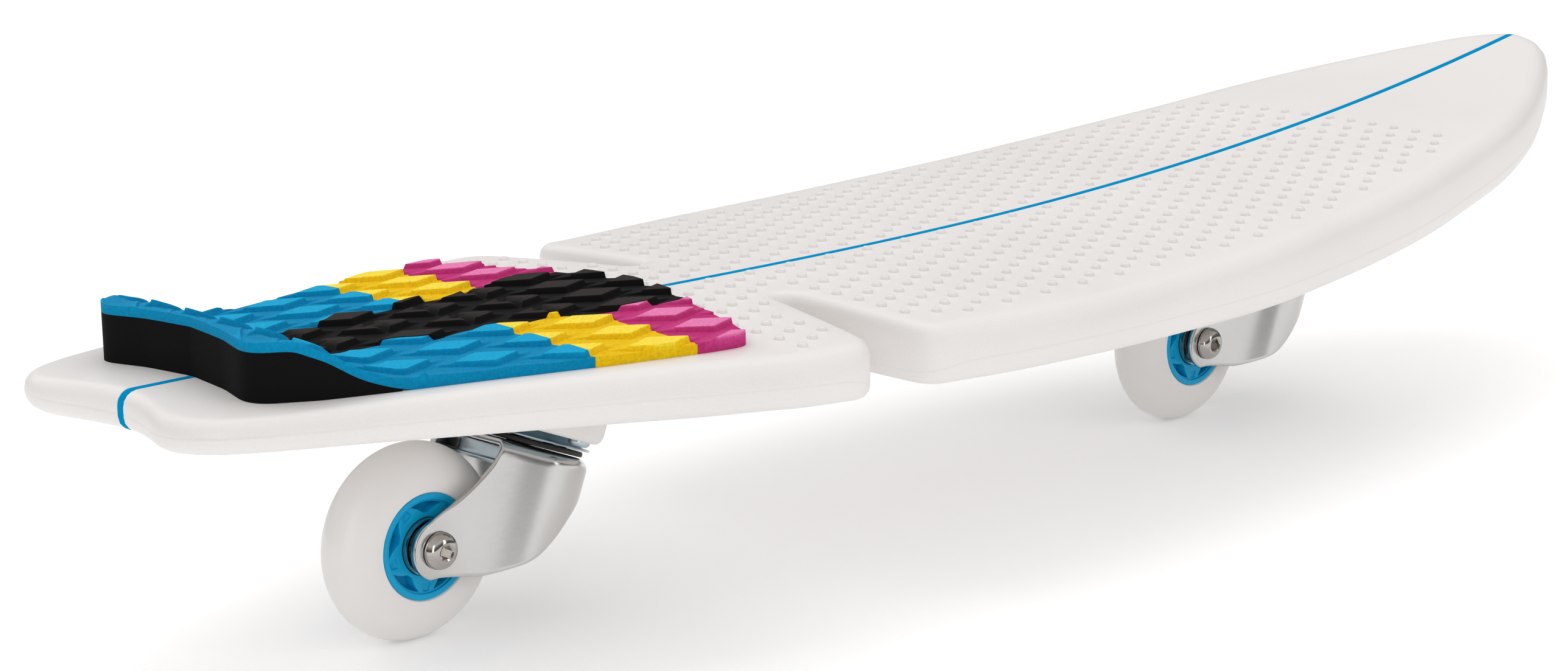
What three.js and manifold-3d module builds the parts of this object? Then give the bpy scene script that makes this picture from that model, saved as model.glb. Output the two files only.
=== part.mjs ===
// Caster board: a narrow-waisted deck with a foam grip pad, riding on two inline wheels.
// Each wheel hangs in a stamped fork that swivels about an axis leaning towards the nose.
// Millimetres. +X points to the nose, +Y to the rider's left, +Z up, z = 0 is the ground.
import * as THREE from 'three';
import { mergeVertices } from 'three/addons/utils/BufferGeometryUtils.js';
import Module from 'manifold-3d';

const wasm = await Module();
wasm.setup();

// Overall sizes
const boardLength = 850;
const boardWidth = 256;
const deckHeight = 112.8;
const tailLift = 5.4;
const noseLift = 37.6;
const wheelbase = 445.3;
const tailOverhang = 138;
const wheelRadius = 38;
const wheelWidth = 24;

// Shared clearances and cutting overrun
const gap = 0.3;
const overrun = 5;

// Deck
const deckThickness = 28;
const crownSag = 4.6;
const railRound = 9;
const railRoundShare = 0.47;
const noseRisePower = 2.15;
const swallowDepth = 16.5;
const swallowHalfWidth = 47;
const neckHalfWidth = 40.4;
const slotFromTail = 298;
const slotThroat = 11;
const slotMouth = 32.5;
const neckSplitFromSlotFront = 6;
const lowPointFromTail = 388;
const stationSpacing = 34;

// Centre stripe let into the deck
const stripeWidth = 1.8;
const stripeDepth = 1.2;
const stripeNoseInset = 9;
const stripeTailInset = 1.2;

// Grip pad
const padFoam = 3.6;
const padTailInset = 37;
const padLength = 216;
const padHalfWidth = 93.5;
const kickHeight = 17.6;
const kickLength = 55;
const blueLength = 124;
const yellowLength = 42;
const bandHalfWidth = 31;
const scaleLength = 63;
const scaleWidth = 21;
const scaleRelief = 1.8;
const firstScale = 4;
const scaleStart = -8;
const scaleSink = 0.6;
const scaleBaseShare = 0.97;
const scaleTopShare = 0.5;

// Swivel: the fork turns about an axis that leans this far towards the nose
const swivelTilt = 22;
const forkReach = 40.4;
const forkDrop = 48.2;

// Swivel stack, heights along the swivel axis from the seal's upper side
const sealRadius = 24.9;
const sealBore = 20.6;
const sealThickness = 2.3;
const dishLip = 27.3;
const dishFoot = 24.4;
const dishTop = 21.5;
const dishHeight = 4.4;
const dishSheet = 1;
const flangeSheet = 2;
const earRadius = 6.5;
const screwCircle = 33;
const screwAngles = [90, 142];
const screwHeadRadius = 4.2;
const screwHeadHeight = 2.4;
const screwShankRadius = 2;
const screwLength = 12;
const kingpinRadius = 5;
const kingpinHeadRadius = 9;
const kingpinHeadHeight = 4;
const kingpinNutFlats = 15;
const kingpinNutHeight = 5;
const kingpinTail = 1.5;
const ballCircle = 15.5;
const ballCount = 8;
const cageRadial = 2.6;
const cageHeight = 1.6;
const cupRadius = 22;
const cupLip = 23.2;
const cupDepth = 6.9;
const cupSheet = 1.4;
const lockScrewRadius = 1.5;
const lockScrewHeadRadius = 2.3;
const lockScrewHeadHeight = 1.2;
const lockScrewLength = 3.4;
const lockScrewTurn = 62;

// Stamped fork
const forkSheet = 2.5;
const hoodRadius = 28;
const legHalfGap = 16;
const legEndRadius = 11.5;
const forkBoreClear = 3.5;
const hoodSweepDegrees = 100;
const hoodSteps = 10;
const legStartShare = 0.66;

// Boss under the deck that carries the swivel
const bossRadius = 29.5;
const bossEar = 8.5;
const bossBite = 9;

// Wheel, hub, bearings and axle
const treadShoulder = 12;
const treadFullness = 0.9;
const hubRadius = 20.35;
const hubRimWall = 2.4;
const hubHalfWidth = 11.8;
const hubWebInset = 0.9;
const pocketCount = 5;
const pocketDepth = 5;
const pocketInner = 12.9;
const pocketOuter = 17.4;
const pocketHalfAngle = 24;
const pocketTipAngle = 4;
const bearingOuter = 11;
const bearingBore = 4;
const bearingWidth = 7;
const bearingStep = 1.6;
const bearingRing = 1.9;
const shieldInset = 0.5;
const hubSpacerWall = 1.8;
const sideSpacerRadius = 6.2;
const axleRadius = 3.7;
const axleHeadRadius = 7.25;
const axleHeadHeight = 4.4;
const axleSocketRadius = 2.9;
const axleSocketDepth = 2.6;
const axleNutFlats = 13;
const axleNutHeight = 7;
const axleTail = 1.4;

// Round forms are cut into this many facets
const fine = 24;
const medium = 20;
const coarse = 14;
const small = 8;

// Places worked out from the sizes above
const tailX = -boardLength / 2;
const noseX = boardLength / 2;
const rearAxleX = tailX + tailOverhang;
const frontAxleX = rearAxleX + wheelbase;
const slotFront = tailX + slotFromTail;
const lowPointX = tailX + lowPointFromTail;
const splitX = slotFront - neckSplitFromSlotFront;
const padStartX = tailX + padTailInset;
const kickEndX = padStartX + kickLength;
const crownTop = -sealThickness - gap;
const crownUnder = crownTop - forkSheet;
const legOuter = legHalfGap + forkSheet;
const flangeUnder = dishHeight;
const flangeTop = flangeUnder + flangeSheet;
const cupTop = crownUnder - gap;
const cupUnder = cupTop - cupDepth;
const cupFloor = cupUnder + cupSheet;

const finish = {
  deck: new THREE.MeshStandardMaterial({ color: 0xe9e6e3, roughness: 0.35, metalness: 0 }),
  blue: new THREE.MeshStandardMaterial({ color: 0x0095c8, roughness: 0.6, metalness: 0 }),
  yellow: new THREE.MeshStandardMaterial({ color: 0xf2d027, roughness: 0.7, metalness: 0 }),
  magenta: new THREE.MeshStandardMaterial({ color: 0xdf4f95, roughness: 0.7, metalness: 0 }),
  black: new THREE.MeshStandardMaterial({ color: 0x151313, roughness: 0.75, metalness: 0 }),
  zinc: new THREE.MeshStandardMaterial({ color: 0xa9b4b8, roughness: 0.35, metalness: 1 }),
  nickel: new THREE.MeshStandardMaterial({ color: 0xc9c8c5, roughness: 0.28, metalness: 1 }),
  steel: new THREE.MeshStandardMaterial({ color: 0x8f8a86, roughness: 0.2, metalness: 1 }),
  tread: new THREE.MeshStandardMaterial({ color: 0xe8e6e3, roughness: 0.3, metalness: 0 }),
};

const radians = THREE.MathUtils.degToRad;

// A closed geometry as a solid: corners merged and empty triangles left out
function solidOf(geometry) {
  const bare = new THREE.BufferGeometry();
  bare.setAttribute('position', geometry.getAttribute('position'));
  if (geometry.index) bare.setIndex(geometry.index);
  const merged = mergeVertices(bare);
  const corners = merged.index.array;
  const kept = [];
  for (let i = 0; i < corners.length; i += 3) {
    const [a, b, c] = [corners[i], corners[i + 1], corners[i + 2]];
    if (a !== b && b !== c && c !== a) kept.push(a, b, c);
  }
  const mesh = new wasm.Mesh({
    numProp: 3,
    vertProperties: new Float32Array(merged.getAttribute('position').array),
    triVerts: new Uint32Array(kept),
  });
  return new wasm.Manifold(mesh);
}

function named(name, solid, material) {
  const data = solid.getMesh();
  const geometry = new THREE.BufferGeometry();
  geometry.setAttribute('position', new THREE.BufferAttribute(data.vertProperties, data.numProp));
  geometry.setIndex(new THREE.BufferAttribute(data.triVerts, 1));
  geometry.computeVertexNormals();
  const mesh = new THREE.Mesh(geometry, material.clone());
  mesh.name = name;
  return mesh;
}

// A plan outline drawn upwards from one height to another
function prism(points, low, high) {
  const shape = new THREE.Shape(points.map(([x, y]) => new THREE.Vector2(x, y)));
  const geometry = new THREE.ExtrudeGeometry(shape, { depth: high - low, bevelEnabled: false });
  return geometry.translate(0, 0, low);
}

// A side outline in X and Z drawn across the board, from -halfWidth to halfWidth
function sidePrism(points, halfWidth) {
  const geometry = prism(points, -halfWidth, halfWidth);
  return geometry.rotateX(Math.PI / 2);
}

// A profile of [radius, height] points turned about Z
function turned(profile, facets) {
  const points = profile.map(([radius, height]) => new THREE.Vector2(radius, height));
  if (THREE.ShapeUtils.area(points) < 0) points.reverse();
  return new THREE.LatheGeometry(points, facets).rotateX(Math.PI / 2);
}

const ring = (inner, outer, low, high, facets) =>
  turned([[inner, low], [outer, low], [outer, high], [inner, high], [inner, low]], facets);

const disc = (radius, low, high, facets) =>
  turned([[0, low], [radius, low], [radius, high], [0, high]], facets);

// Sections of equal point counts, set along X and skinned into one closed body
function loft(rings) {
  const flat = (section) => section.map(([, y, z]) => new THREE.Vector2(y, z));
  const clockwise = THREE.ShapeUtils.area(flat(rings[0])) < 0;
  const sections = clockwise ? rings.map((section) => [...section].reverse()) : rings;
  const count = sections[0].length;
  const index = [];
  for (let s = 0; s < sections.length - 1; s += 1) {
    for (let i = 0; i < count; i += 1) {
      const j = (i + 1) % count;
      const [a, b, c, d] = [s * count + i, s * count + j, (s + 1) * count + j, (s + 1) * count + i];
      index.push(a, b, c, a, c, d);
    }
  }
  const ends = [[sections[0], 0, -1], [sections.at(-1), (sections.length - 1) * count, 1]];
  for (const [section, start, facing] of ends) {
    const outline = flat(section);
    for (const [a, b, c] of THREE.ShapeUtils.triangulateShape(outline, [])) {
      const turn = THREE.ShapeUtils.area([outline[a], outline[b], outline[c]]) * facing;
      index.push(start + a, ...(turn > 0 ? [start + b, start + c] : [start + c, start + b]));
    }
  }
  const geometry = new THREE.BufferGeometry();
  geometry.setAttribute('position', new THREE.Float32BufferAttribute(sections.flat(2), 3));
  geometry.setIndex(index);
  return geometry;
}

// Smooth value at one place in a table of [place, value] rows
function smooth(table, at) {
  const last = table.length - 1;
  const k = Math.min(Math.max(table.findIndex(([place]) => place >= at), 1), last);
  const slope = (i) => {
    const [a, b] = [Math.max(i - 1, 0), Math.min(i + 1, last)];
    return (table[b][1] - table[a][1]) / (table[b][0] - table[a][0]);
  };
  const [[x0, y0], [x1, y1]] = [table[k - 1], table[k]];
  const span = x1 - x0;
  const t = Math.min(Math.max((at - x0) / span, 0), 1);
  const rise = (1 + 2 * t) * (1 - t) ** 2 * y0 + t ** 2 * (3 - 2 * t) * y1;
  return rise + span * (t * (1 - t) ** 2 * slope(k - 1) - t ** 2 * (1 - t) * slope(k));
}

// Deck half width along the board: shares of the length from the tail, shares of half the width
const planShares = [
  [0, 0.2], [0.003, 0.29], [0.008, 0.36], [0.016, 0.425], [0.028, 0.482], [0.044, 0.527],
  [0.092, 0.607], [0.185, 0.764],
  [0.218, 0.826], [0.255, 0.905], [0.273, 0.938], [0.3, 0.945], [0.33, 0.932], [0.353, 0.925],
  [0.381, 0.953], [0.407, 0.975], [0.461, 1], [0.539, 0.986], [0.591, 0.964], [0.642, 0.922],
  [0.695, 0.878], [0.747, 0.822], [0.798, 0.747], [0.849, 0.668], [0.894, 0.557],
  [0.936, 0.414], [0.966, 0.288], [0.985, 0.188], [0.9955, 0.095], [1, 0.02],
];

// Rail thickness along the board as shares of the deck thickness
const thicknessShares = [
  [0, 0.41], [0.044, 0.45], [0.13, 0.59], [0.218, 0.7], [0.27, 0.71], [0.364, 0.83], [0.453, 0.84],
  [0.53, 0.9], [0.621, 0.99], [0.78, 1.05], [0.9, 1], [0.97, 0.82], [1, 0.7],
];

const alongBoard = (x) => (x - tailX) / boardLength;
const halfWidth = (x) => smooth(planShares, alongBoard(x)) * boardWidth / 2;
const railThickness = (x) => smooth(thicknessShares, alongBoard(x)) * deckThickness;
const crown = (y) => crownSag * (2 * y / boardWidth) ** 2;

// Height of the deck's centreline: low amidships, with a slight kick at the tail and a long nose
function rocker(x) {
  if (x > lowPointX) return deckHeight + noseLift * ((x - lowPointX) / (noseX - lowPointX)) ** noseRisePower;
  const share = (lowPointX - x) / (lowPointX - tailX);
  return deckHeight + tailLift * share ** 2 * (3 - 2 * share);
}

const deckTop = (x, y) => rocker(x) - crown(y);
const deckUnder = (x) => deckTop(x, halfWidth(x)) - railThickness(x);

// One cross section of the deck: crowned top, rounded rails and a nearly flat underside
const topShares = [-1, -0.5, 0, 0.5, 1];
const railArcDegrees = [60, 30, 0];
function deckSection(x) {
  const half = halfWidth(x);
  const round = Math.min(railRound, half / 2, railThickness(x) * railRoundShare);
  const flat = half - round;
  const top = topShares.map((share) => [x, flat * share, deckTop(x, flat * share)]);
  const upper = deckTop(x, flat) - round;
  const lower = deckUnder(x) + round;
  const corner = (degrees, centre, side) => {
    const angle = radians(degrees);
    return [x, flat + round * Math.cos(angle), centre + side * round * Math.sin(angle)];
  };
  const right = [
    ...railArcDegrees.map((degrees) => corner(degrees, upper, 1)),
    ...[...railArcDegrees].reverse().map((degrees) => corner(degrees, lower, -1)),
    corner(90, lower, -1),
  ];
  return [...top, ...right, ...right.map(([, y, z]) => [x, -y, z]).reverse()];
}

// Stations close up where the outline turns quickly, and are never far apart
function stations(from, to) {
  const knots = planShares.map(([share]) => tailX + share * boardLength);
  const halfway = knots.slice(1).flatMap((knot, i) => (
    knot - knots[i] > stationSpacing ? [(knot + knots[i]) / 2] : []));
  const inner = [...knots, ...halfway].filter((x) => x > from + gap && x < to - gap);
  return [from, ...inner.sort((a, b) => a - b), to];
}

// The side slots narrow the deck to its neck: square in front, slanted behind, round inside
function slotOutline(side) {
  const mouth = boardWidth / 2 + overrun;
  const round = slotThroat / 2;
  const centre = [slotFront - round, neckHalfWidth + round];
  const lean = Math.atan2(slotMouth - slotThroat, mouth - centre[1]);
  const points = [[slotFront, mouth], [slotFront, centre[1]]];
  for (let degrees = 30; degrees < 180; degrees += 30) {
    const angle = radians(degrees) * (1 - lean / Math.PI);
    points.push([centre[0] + round * Math.cos(angle), centre[1] - round * Math.sin(angle)]);
  }
  points.push([centre[0] - round * Math.cos(lean), centre[1] - round * Math.sin(lean)]);
  points.push([slotFront - slotMouth, mouth]);
  return points.map(([x, y]) => [x, y * side]);
}

// The swallow cut in the tail, a shallow V with eased sides
function swallowOutline() {
  const depthShares = [[-1.2, -0.35], [-1, 0], [-0.66, 0.5], [-0.3, 0.86], [0, 1], [0.3, 0.86],
    [0.66, 0.5], [1, 0], [1.2, -0.35]];
  const edge = depthShares.map(([y, depth]) => [tailX + depth * swallowDepth, y * swallowHalfWidth]);
  const behind = tailX - overrun - swallowDepth;
  return [[behind, -boardWidth / 2], ...edge, [behind, boardWidth / 2]];
}

// Everything that belongs to a caster is drawn about its swivel, then set under the deck
function swivelMatrix(axleX) {
  const tilt = new THREE.Matrix4().makeRotationY(radians(swivelTilt));
  const arm = new THREE.Vector3(forkReach, 0, forkDrop).applyMatrix4(tilt);
  return new THREE.Matrix4().makeTranslation(axleX + arm.x, 0, wheelRadius + arm.z).multiply(tilt);
}

const screwPlaces = screwAngles.flatMap((degrees) => [degrees, -degrees])
  .map((degrees) => [screwCircle * Math.cos(radians(degrees)), screwCircle * Math.sin(radians(degrees))]);

const circlePoints = ([x, y], radius, facets) => Array.from({ length: facets }, (_, i) => {
  const angle = 2 * Math.PI * i / facets;
  return [x + radius * Math.cos(angle), y + radius * Math.sin(angle)];
});

// Corners of a convex outline, counter-clockwise
function hull(points) {
  const sorted = [...points].sort((a, b) => a[0] - b[0] || a[1] - b[1]);
  const turn = (o, a, b) => (a[0] - o[0]) * (b[1] - o[1]) - (a[1] - o[1]) * (b[0] - o[0]);
  const half = (list) => list.reduce((chain, point) => {
    while (chain.length > 1 && turn(chain.at(-2), chain.at(-1), point) <= 0) chain.pop();
    return [...chain, point];
  }, []);
  return [...half(sorted).slice(0, -1), ...half(sorted.reverse()).slice(0, -1)];
}

// Outline round the swivel with an ear at each screw
const earedOutline = (radius, ear) =>
  hull([[0, 0, radius, fine], ...screwPlaces.map(([x, y]) => [x, y, ear, small])]
    .flatMap(([x, y, reach, facets]) => circlePoints([x, y], reach, facets)));

const placedOn = (solid, matrix) => solid.transform(matrix.elements);

// Wedge boss that brings the sloping swivel seat down from the deck
function boss(axleX) {
  const seat = swivelMatrix(axleX);
  const outline = earedOutline(bossRadius, bossEar);
  const block = placedOn(solidOf(prism(outline, flangeUnder, deckHeight)), seat);
  const roof = Math.min(deckUnder(axleX), deckUnder(axleX + forkReach)) + bossBite;
  const keep = solidOf(new THREE.BoxGeometry(boardLength, boardWidth, roof).translate(axleX, 0, roof / 2));
  return block.intersect(keep);
}

// Pocket in the boss for the flange, the kingpin's head and the screws
function bossPocket(axleX) {
  const seat = swivelMatrix(axleX);
  const tools = [
    prism(earedOutline(dishLip, earRadius + gap), flangeUnder - overrun, flangeTop + gap),
    disc(kingpinHeadRadius + gap, flangeTop, flangeTop + kingpinHeadHeight + 2 * gap, medium),
    ...screwPlaces.map(([x, y]) =>
      disc(screwShankRadius + gap, flangeTop, flangeUnder + screwLength + gap, small).translate(x, y, 0)),
  ];
  return placedOn(tools.map(solidOf).reduce((all, tool) => all.add(tool)), seat);
}

// Groove along the middle of the deck for the stripe
function stripeBody(from, to, clear) {
  const half = stripeWidth / 2 + clear;
  const steps = stations(from, to);
  return loft(steps.map((x) => {
    const top = rocker(x) + (clear ? overrun : 0);
    const low = rocker(x) - stripeDepth - clear;
    return [[x, -half, low], [x, half, low], [x, half, top], [x, -half, top]];
  }));
}

function deck(from, to) {
  const shell = solidOf(loft(stations(from, to).map(deckSection)));
  const axles = [rearAxleX, frontAxleX].filter((x) => x > from && x < to);
  const bosses = axles.map(boss).reduce((all, part) => all.add(part), shell);
  const cutters = [
    solidOf(prism(slotOutline(1), 0, deckHeight + noseLift)),
    solidOf(prism(slotOutline(-1), 0, deckHeight + noseLift)),
    solidOf(prism(swallowOutline(), 0, deckHeight + noseLift)),
    solidOf(stripeBody(tailX - overrun, noseX - stripeNoseInset + gap, gap)),
    ...axles.map(bossPocket),
  ];
  return cutters.reduce((part, cutter) => part.subtract(cutter), bosses);
}

// Foam thickness profile of the kick under the blue foam: a flat ridge, then an easy S down
const kickShares = [[0, 1], [0.25, 1], [0.36, 0.87], [0.46, 0.72], [0.66, 0.34], [0.86, 0.1], [1, 0]];
const kickRise = (x) => {
  const share = (x - padStartX) / kickLength;
  return share > 1 ? 0 : kickHeight * smooth(kickShares, Math.max(share, 0));
};

// Half of the pad's outline, as shares of its length from the tail and of its half width
const padShares = [
  [0.045, 0], [0.03, 0.26], [0, 0.46], [0.012, 0.54], [0.105, 0.622], [0.216, 0.695], [0.6, 0.905],
  [0.8, 0.99], [0.875, 1], [0.9, 0.955], [0.932, 0.74], [0.962, 0.46], [0.985, 0.26], [1, 0],
];
function padOutline() {
  const right = padShares.map(([x, y]) => [padStartX + x * padLength, -y * padHalfWidth]);
  const left = right.slice(1, -1).map(([x, y]) => [x, -y]).reverse();
  return [...right, ...left];
}

// A body between two surfaces that follow the deck, across the pad's whole width
const padRowShares = [-1, -0.66, -0.33, 0, 0.33, 0.66, 1];
function padSlab(steps, low, high) {
  const rows = padRowShares.map((share) => share * (padHalfWidth + overrun));
  return solidOf(loft(steps.map((x) => [
    ...rows.map((y) => [x, y, deckTop(x, y) + low(x)]),
    ...rows.map((y) => [x, -y, deckTop(x, y) + high(x)]),
  ])));
}

// The kick's block ends before its front edge runs out to nothing
const kickSteps = kickShares.slice(0, -1).map(([share]) => padStartX + share * kickLength);
const coverStepShares = [0.45, 0.65, 0.85];
const coverSteps = [
  padStartX - overrun, ...kickSteps, padStartX + kickLength,
  ...coverStepShares.map((share) => padStartX + share * padLength), padStartX + padLength + overrun,
];

// A plan outline as a cutter taller than the whole board
const tall = (outline) => solidOf(prism(outline, 0, 2 * deckHeight));

// One raised scale, a long flat-topped diamond lying along the deck's slope
function padScale(x, y) {
  const [long, wide] = [scaleLength / 2, scaleWidth / 2];
  const height = scaleRelief + scaleSink;
  const pitch = Math.atan2(deckTop(x - long, y) - deckTop(x + long, y), scaleLength);
  const roll = Math.atan2(deckTop(x, y + wide) - deckTop(x, y - wide), scaleWidth);
  const body = new THREE.CylinderGeometry(scaleTopShare, 1, height, 4).rotateX(Math.PI / 2);
  body.scale(scaleBaseShare * long, scaleBaseShare * wide, 1).rotateX(roll).rotateY(pitch);
  return solidOf(body.translate(x, y, deckTop(x, y) + gap + padFoam - scaleSink + height / 2));
}

// Scales in staggered columns that fill the pad ahead of the kick
function scales() {
  const bodies = [];
  const columns = Math.floor(padLength / (scaleLength / 2));
  const rows = Math.ceil(padHalfWidth / scaleWidth);
  for (let column = 0; column <= columns; column += 1) {
    const x = kickEndX + firstScale + column * scaleLength / 2;
    for (let row = -rows; row <= rows; row += 1) {
      bodies.push(padScale(x, (row + ((column + 1) % 2) / 2) * scaleWidth));
    }
  }
  const kick = tall([[-boardLength, -boardWidth], [kickEndX + scaleStart, -boardWidth],
    [kickEndX + scaleStart, boardWidth], [-boardLength, boardWidth]]);
  return wasm.Manifold.union(bodies).subtract(kick);
}

// Everything on the tail side of a straight seam across the pad
function behindSeam(x) {
  const far = x - boardLength;
  return [[far, -boardWidth], [x, -boardWidth], [x, boardWidth], [far, boardWidth]];
}

// The black band down the middle of the pad widens towards the nose
const bandShares = [[-0.02, 0.7], [0.16, 0.66], [0.24, 0.86], [0.35, 0.8], [0.46, 0.92], [0.6, 0.86],
  [0.66, 1.05], [0.76, 1.12], [1.1, 1.3]];
function bandOutline(clear) {
  const length = padLength - kickLength;
  const right = bandShares.map(([x, y]) => [kickEndX + x * length, -y * bandHalfWidth - clear]);
  right[0][0] -= clear;
  return [...right, ...right.map(([x, y]) => [x, -y]).reverse()];
}

const halfPlane = (side) => {
  const far = boardLength;
  const points = [[-far, 0], [far, 0], [far, far * side], [-far, far * side]];
  return tall(side > 0 ? points : points.reverse());
};

function padParts() {
  const plan = tall(padOutline());
  const blueEnd = padStartX + blueLength;
  const yellowEnd = blueEnd + yellowLength;
  const block = padSlab([padStartX - overrun, ...kickSteps], () => gap, kickRise);
  const cover = padSlab(coverSteps, (x) => gap + kickRise(x), (x) => gap + padFoam + kickRise(x));
  const foam = cover.add(scales()).intersect(plan);
  const band = tall(bandOutline(0));
  const sides = foam.subtract(tall(bandOutline(gap)));
  const upTo = (x) => tall(behindSeam(x));
  const parts = [
    named('pad_kick_block', block.intersect(plan), finish.black),
    named('pad_blue', sides.intersect(upTo(blueEnd)), finish.blue),
    named('pad_black', foam.intersect(band), finish.black),
  ];
  for (const [hand, side] of [['left', 1], ['right', -1]]) {
    const half = sides.intersect(halfPlane(side));
    const yellow = half.intersect(upTo(yellowEnd)).subtract(upTo(blueEnd + gap));
    const magenta = half.subtract(upTo(yellowEnd + gap));
    parts.push(named(`pad_yellow_${hand}`, yellow, finish.yellow));
    parts.push(named(`pad_magenta_${hand}`, magenta, finish.magenta));
  }
  return parts;
}

// Swivel parts, drawn about the swivel axis

const hexagon = (flats) => circlePoints([0, 0], flats / Math.sqrt(3), 6);

function basePlate() {
  const skirt = turned([
    [dishTop - dishSheet, flangeUnder + dishSheet], [dishFoot - dishSheet, gap], [dishLip, gap],
    [dishLip, gap + dishSheet], [dishFoot, gap + dishSheet], [dishTop, flangeUnder + dishSheet],
    [dishTop - dishSheet, flangeUnder + dishSheet],
  ], fine);
  const flange = solidOf(prism(earedOutline(dishTop, earRadius), flangeUnder, flangeTop));
  const holes = screwPlaces.map(([x, y]) =>
    disc(screwShankRadius + gap, -overrun, flangeTop + overrun, small).translate(x, y, 0));
  const bore = disc(kingpinRadius + gap, -overrun, flangeTop + overrun, coarse);
  const plate = flange.add(solidOf(skirt));
  return [...holes, bore].map(solidOf).reduce((part, hole) => part.subtract(hole), plate);
}

// Pan-head screw, head below the flange, shank up into the boss
function plateScrew() {
  const head = disc(screwHeadRadius, flangeUnder - gap - screwHeadHeight, flangeUnder - gap, small);
  const shank = disc(screwShankRadius, flangeUnder - 2 * gap, flangeUnder + screwLength, small);
  return solidOf(head).add(solidOf(shank));
}

function kingpin() {
  const head = flangeTop + gap;
  const foot = cupUnder - gap - kingpinNutHeight - kingpinTail;
  return solidOf(turned([
    [0, foot], [kingpinRadius, foot], [kingpinRadius, head], [kingpinHeadRadius, head],
    [kingpinHeadRadius, head + kingpinHeadHeight], [0, head + kingpinHeadHeight],
  ], coarse));
}

function kingpinNut() {
  const top = cupUnder - gap;
  const low = top - kingpinNutHeight;
  const body = solidOf(prism(hexagon(kingpinNutFlats), low, top));
  return body.subtract(solidOf(disc(kingpinRadius + gap, low - overrun, top + overrun, coarse)));
}

// Balls held in a flat cage ring, filling the space between two tracks
function ballRing(low, high) {
  const centre = (low + high) / 2;
  const cage = ring(ballCircle - cageRadial / 2, ballCircle + cageRadial / 2,
    centre - cageHeight / 2, centre + cageHeight / 2, coarse);
  const ball = new THREE.OctahedronGeometry((high - low) / 2 - gap, 1);
  const balls = circlePoints([0, 0], ballCircle, ballCount)
    .map(([x, y]) => solidOf(ball.clone().translate(x, y, centre)));
  return balls.reduce((all, one) => all.add(one), solidOf(cage));
}

// Pressed cup under the crown that closes the lower ball track
function lowerCup() {
  const cup = solidOf(turned([
    [kingpinRadius + gap, cupUnder], [cupLip, cupUnder], [cupLip, cupFloor], [cupRadius, cupFloor],
    [cupRadius, cupTop], [cupRadius - cupSheet, cupTop], [cupRadius - cupSheet, cupFloor],
    [kingpinRadius + gap, cupFloor], [kingpinRadius + gap, cupUnder],
  ], fine));
  const hole = disc(lockScrewRadius + gap, 0, cupLip, small);
  return cup.subtract(placedOn(solidOf(hole), lockScrewMatrix()));
}

// Small lock screw through the cup's wall, on the side that shows behind the fork
function lockScrewMatrix() {
  const height = (cupTop + cupFloor) / 2;
  const turn = new THREE.Matrix4().makeRotationZ(radians(180 + lockScrewTurn));
  const lay = new THREE.Matrix4().makeRotationY(Math.PI / 2);
  return new THREE.Matrix4().makeTranslation(0, 0, height).multiply(turn).multiply(lay);
}

function lockScrew() {
  const seat = cupRadius + gap;
  return solidOf(turned([
    [0, seat - lockScrewLength], [lockScrewRadius, seat - lockScrewLength], [lockScrewRadius, seat],
    [lockScrewHeadRadius, seat], [lockScrewHeadRadius, seat + lockScrewHeadHeight],
    [0, seat + lockScrewHeadHeight],
  ], small));
}

// The fork in plan, square to the swivel axis: a round hood that narrows to two level legs
function forkPlan(inset, tailReach) {
  const radius = hoodRadius - inset;
  const half = legOuter - inset;
  const right = [];
  for (let degrees = 0; degrees <= hoodSweepDegrees; degrees += hoodSweepDegrees / hoodSteps) {
    right.push([radius * Math.cos(radians(degrees)), -radius * Math.sin(radians(degrees))]);
  }
  right.push([-forkReach * legStartShare, -half], [-tailReach, -half]);
  const left = right.slice(1).map(([x, y]) => [x, -y]);
  return [...right.reverse(), ...left];
}

// The fork from the side: shares of the reach and drop from the crown to the axle
const lowerEdgeShares = [
  [-0.5, -1.124], [-0.27, -1.027], [-0.02, -0.884], [0.15, -0.714], [0.31, -0.529],
  [0.51, -0.342], [0.7, -0.176],
];
const rearEdgeShares = [[-0.612, -0.08], [-0.618, -0.14], [-0.653, -0.278], [-0.75, -0.407], [-0.95, -0.627]];
function forkSide(top, endRadius) {
  const edge = (shares) => shares.map(([x, z]) => [x * forkReach, z * forkDrop]);
  const end = [];
  for (let degrees = 135; degrees <= 285; degrees += 15) {
    const angle = radians(degrees);
    end.push([-forkReach + endRadius * Math.cos(angle), -forkDrop + endRadius * Math.sin(angle)]);
  }
  const front = forkReach * lowerEdgeShares.at(-1)[0] + hoodRadius;
  const noseDrop = lowerEdgeShares.at(-1)[1];
  return [
    ...edge(lowerEdgeShares), [front, noseDrop * forkDrop],
    [front, top], ...edge([[rearEdgeShares[0][0], top / forkDrop]]), ...edge(rearEdgeShares), ...end,
  ];
}

function fork() {
  const long = forkReach + legEndRadius + overrun;
  const deep = forkDrop + legEndRadius + overrun;
  const outer = solidOf(prism(forkPlan(0, long), -deep, crownTop));
  const inner = solidOf(prism(forkPlan(forkSheet, long + overrun), -deep - overrun, crownUnder));
  const shape = solidOf(sidePrism(forkSide(crownTop, legEndRadius), hoodRadius + overrun));
  const bore = disc(kingpinRadius + forkBoreClear, crownUnder - overrun, crownTop + overrun, coarse);
  const axleHole = disc(bearingBore + gap, -hoodRadius - overrun, hoodRadius + overrun, coarse)
    .rotateX(Math.PI / 2).translate(-forkReach, 0, -forkDrop);
  return outer.subtract(inner).intersect(shape).subtract(solidOf(bore)).subtract(solidOf(axleHole));
}

// Wheel parts, turned about the axle and laid along Y

const acrossBoard = (geometry) => solidOf(geometry.rotateX(Math.PI / 2));
const bearingFace = hubHalfWidth + bearingStep;
const bearingInside = bearingFace - bearingWidth;

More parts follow.
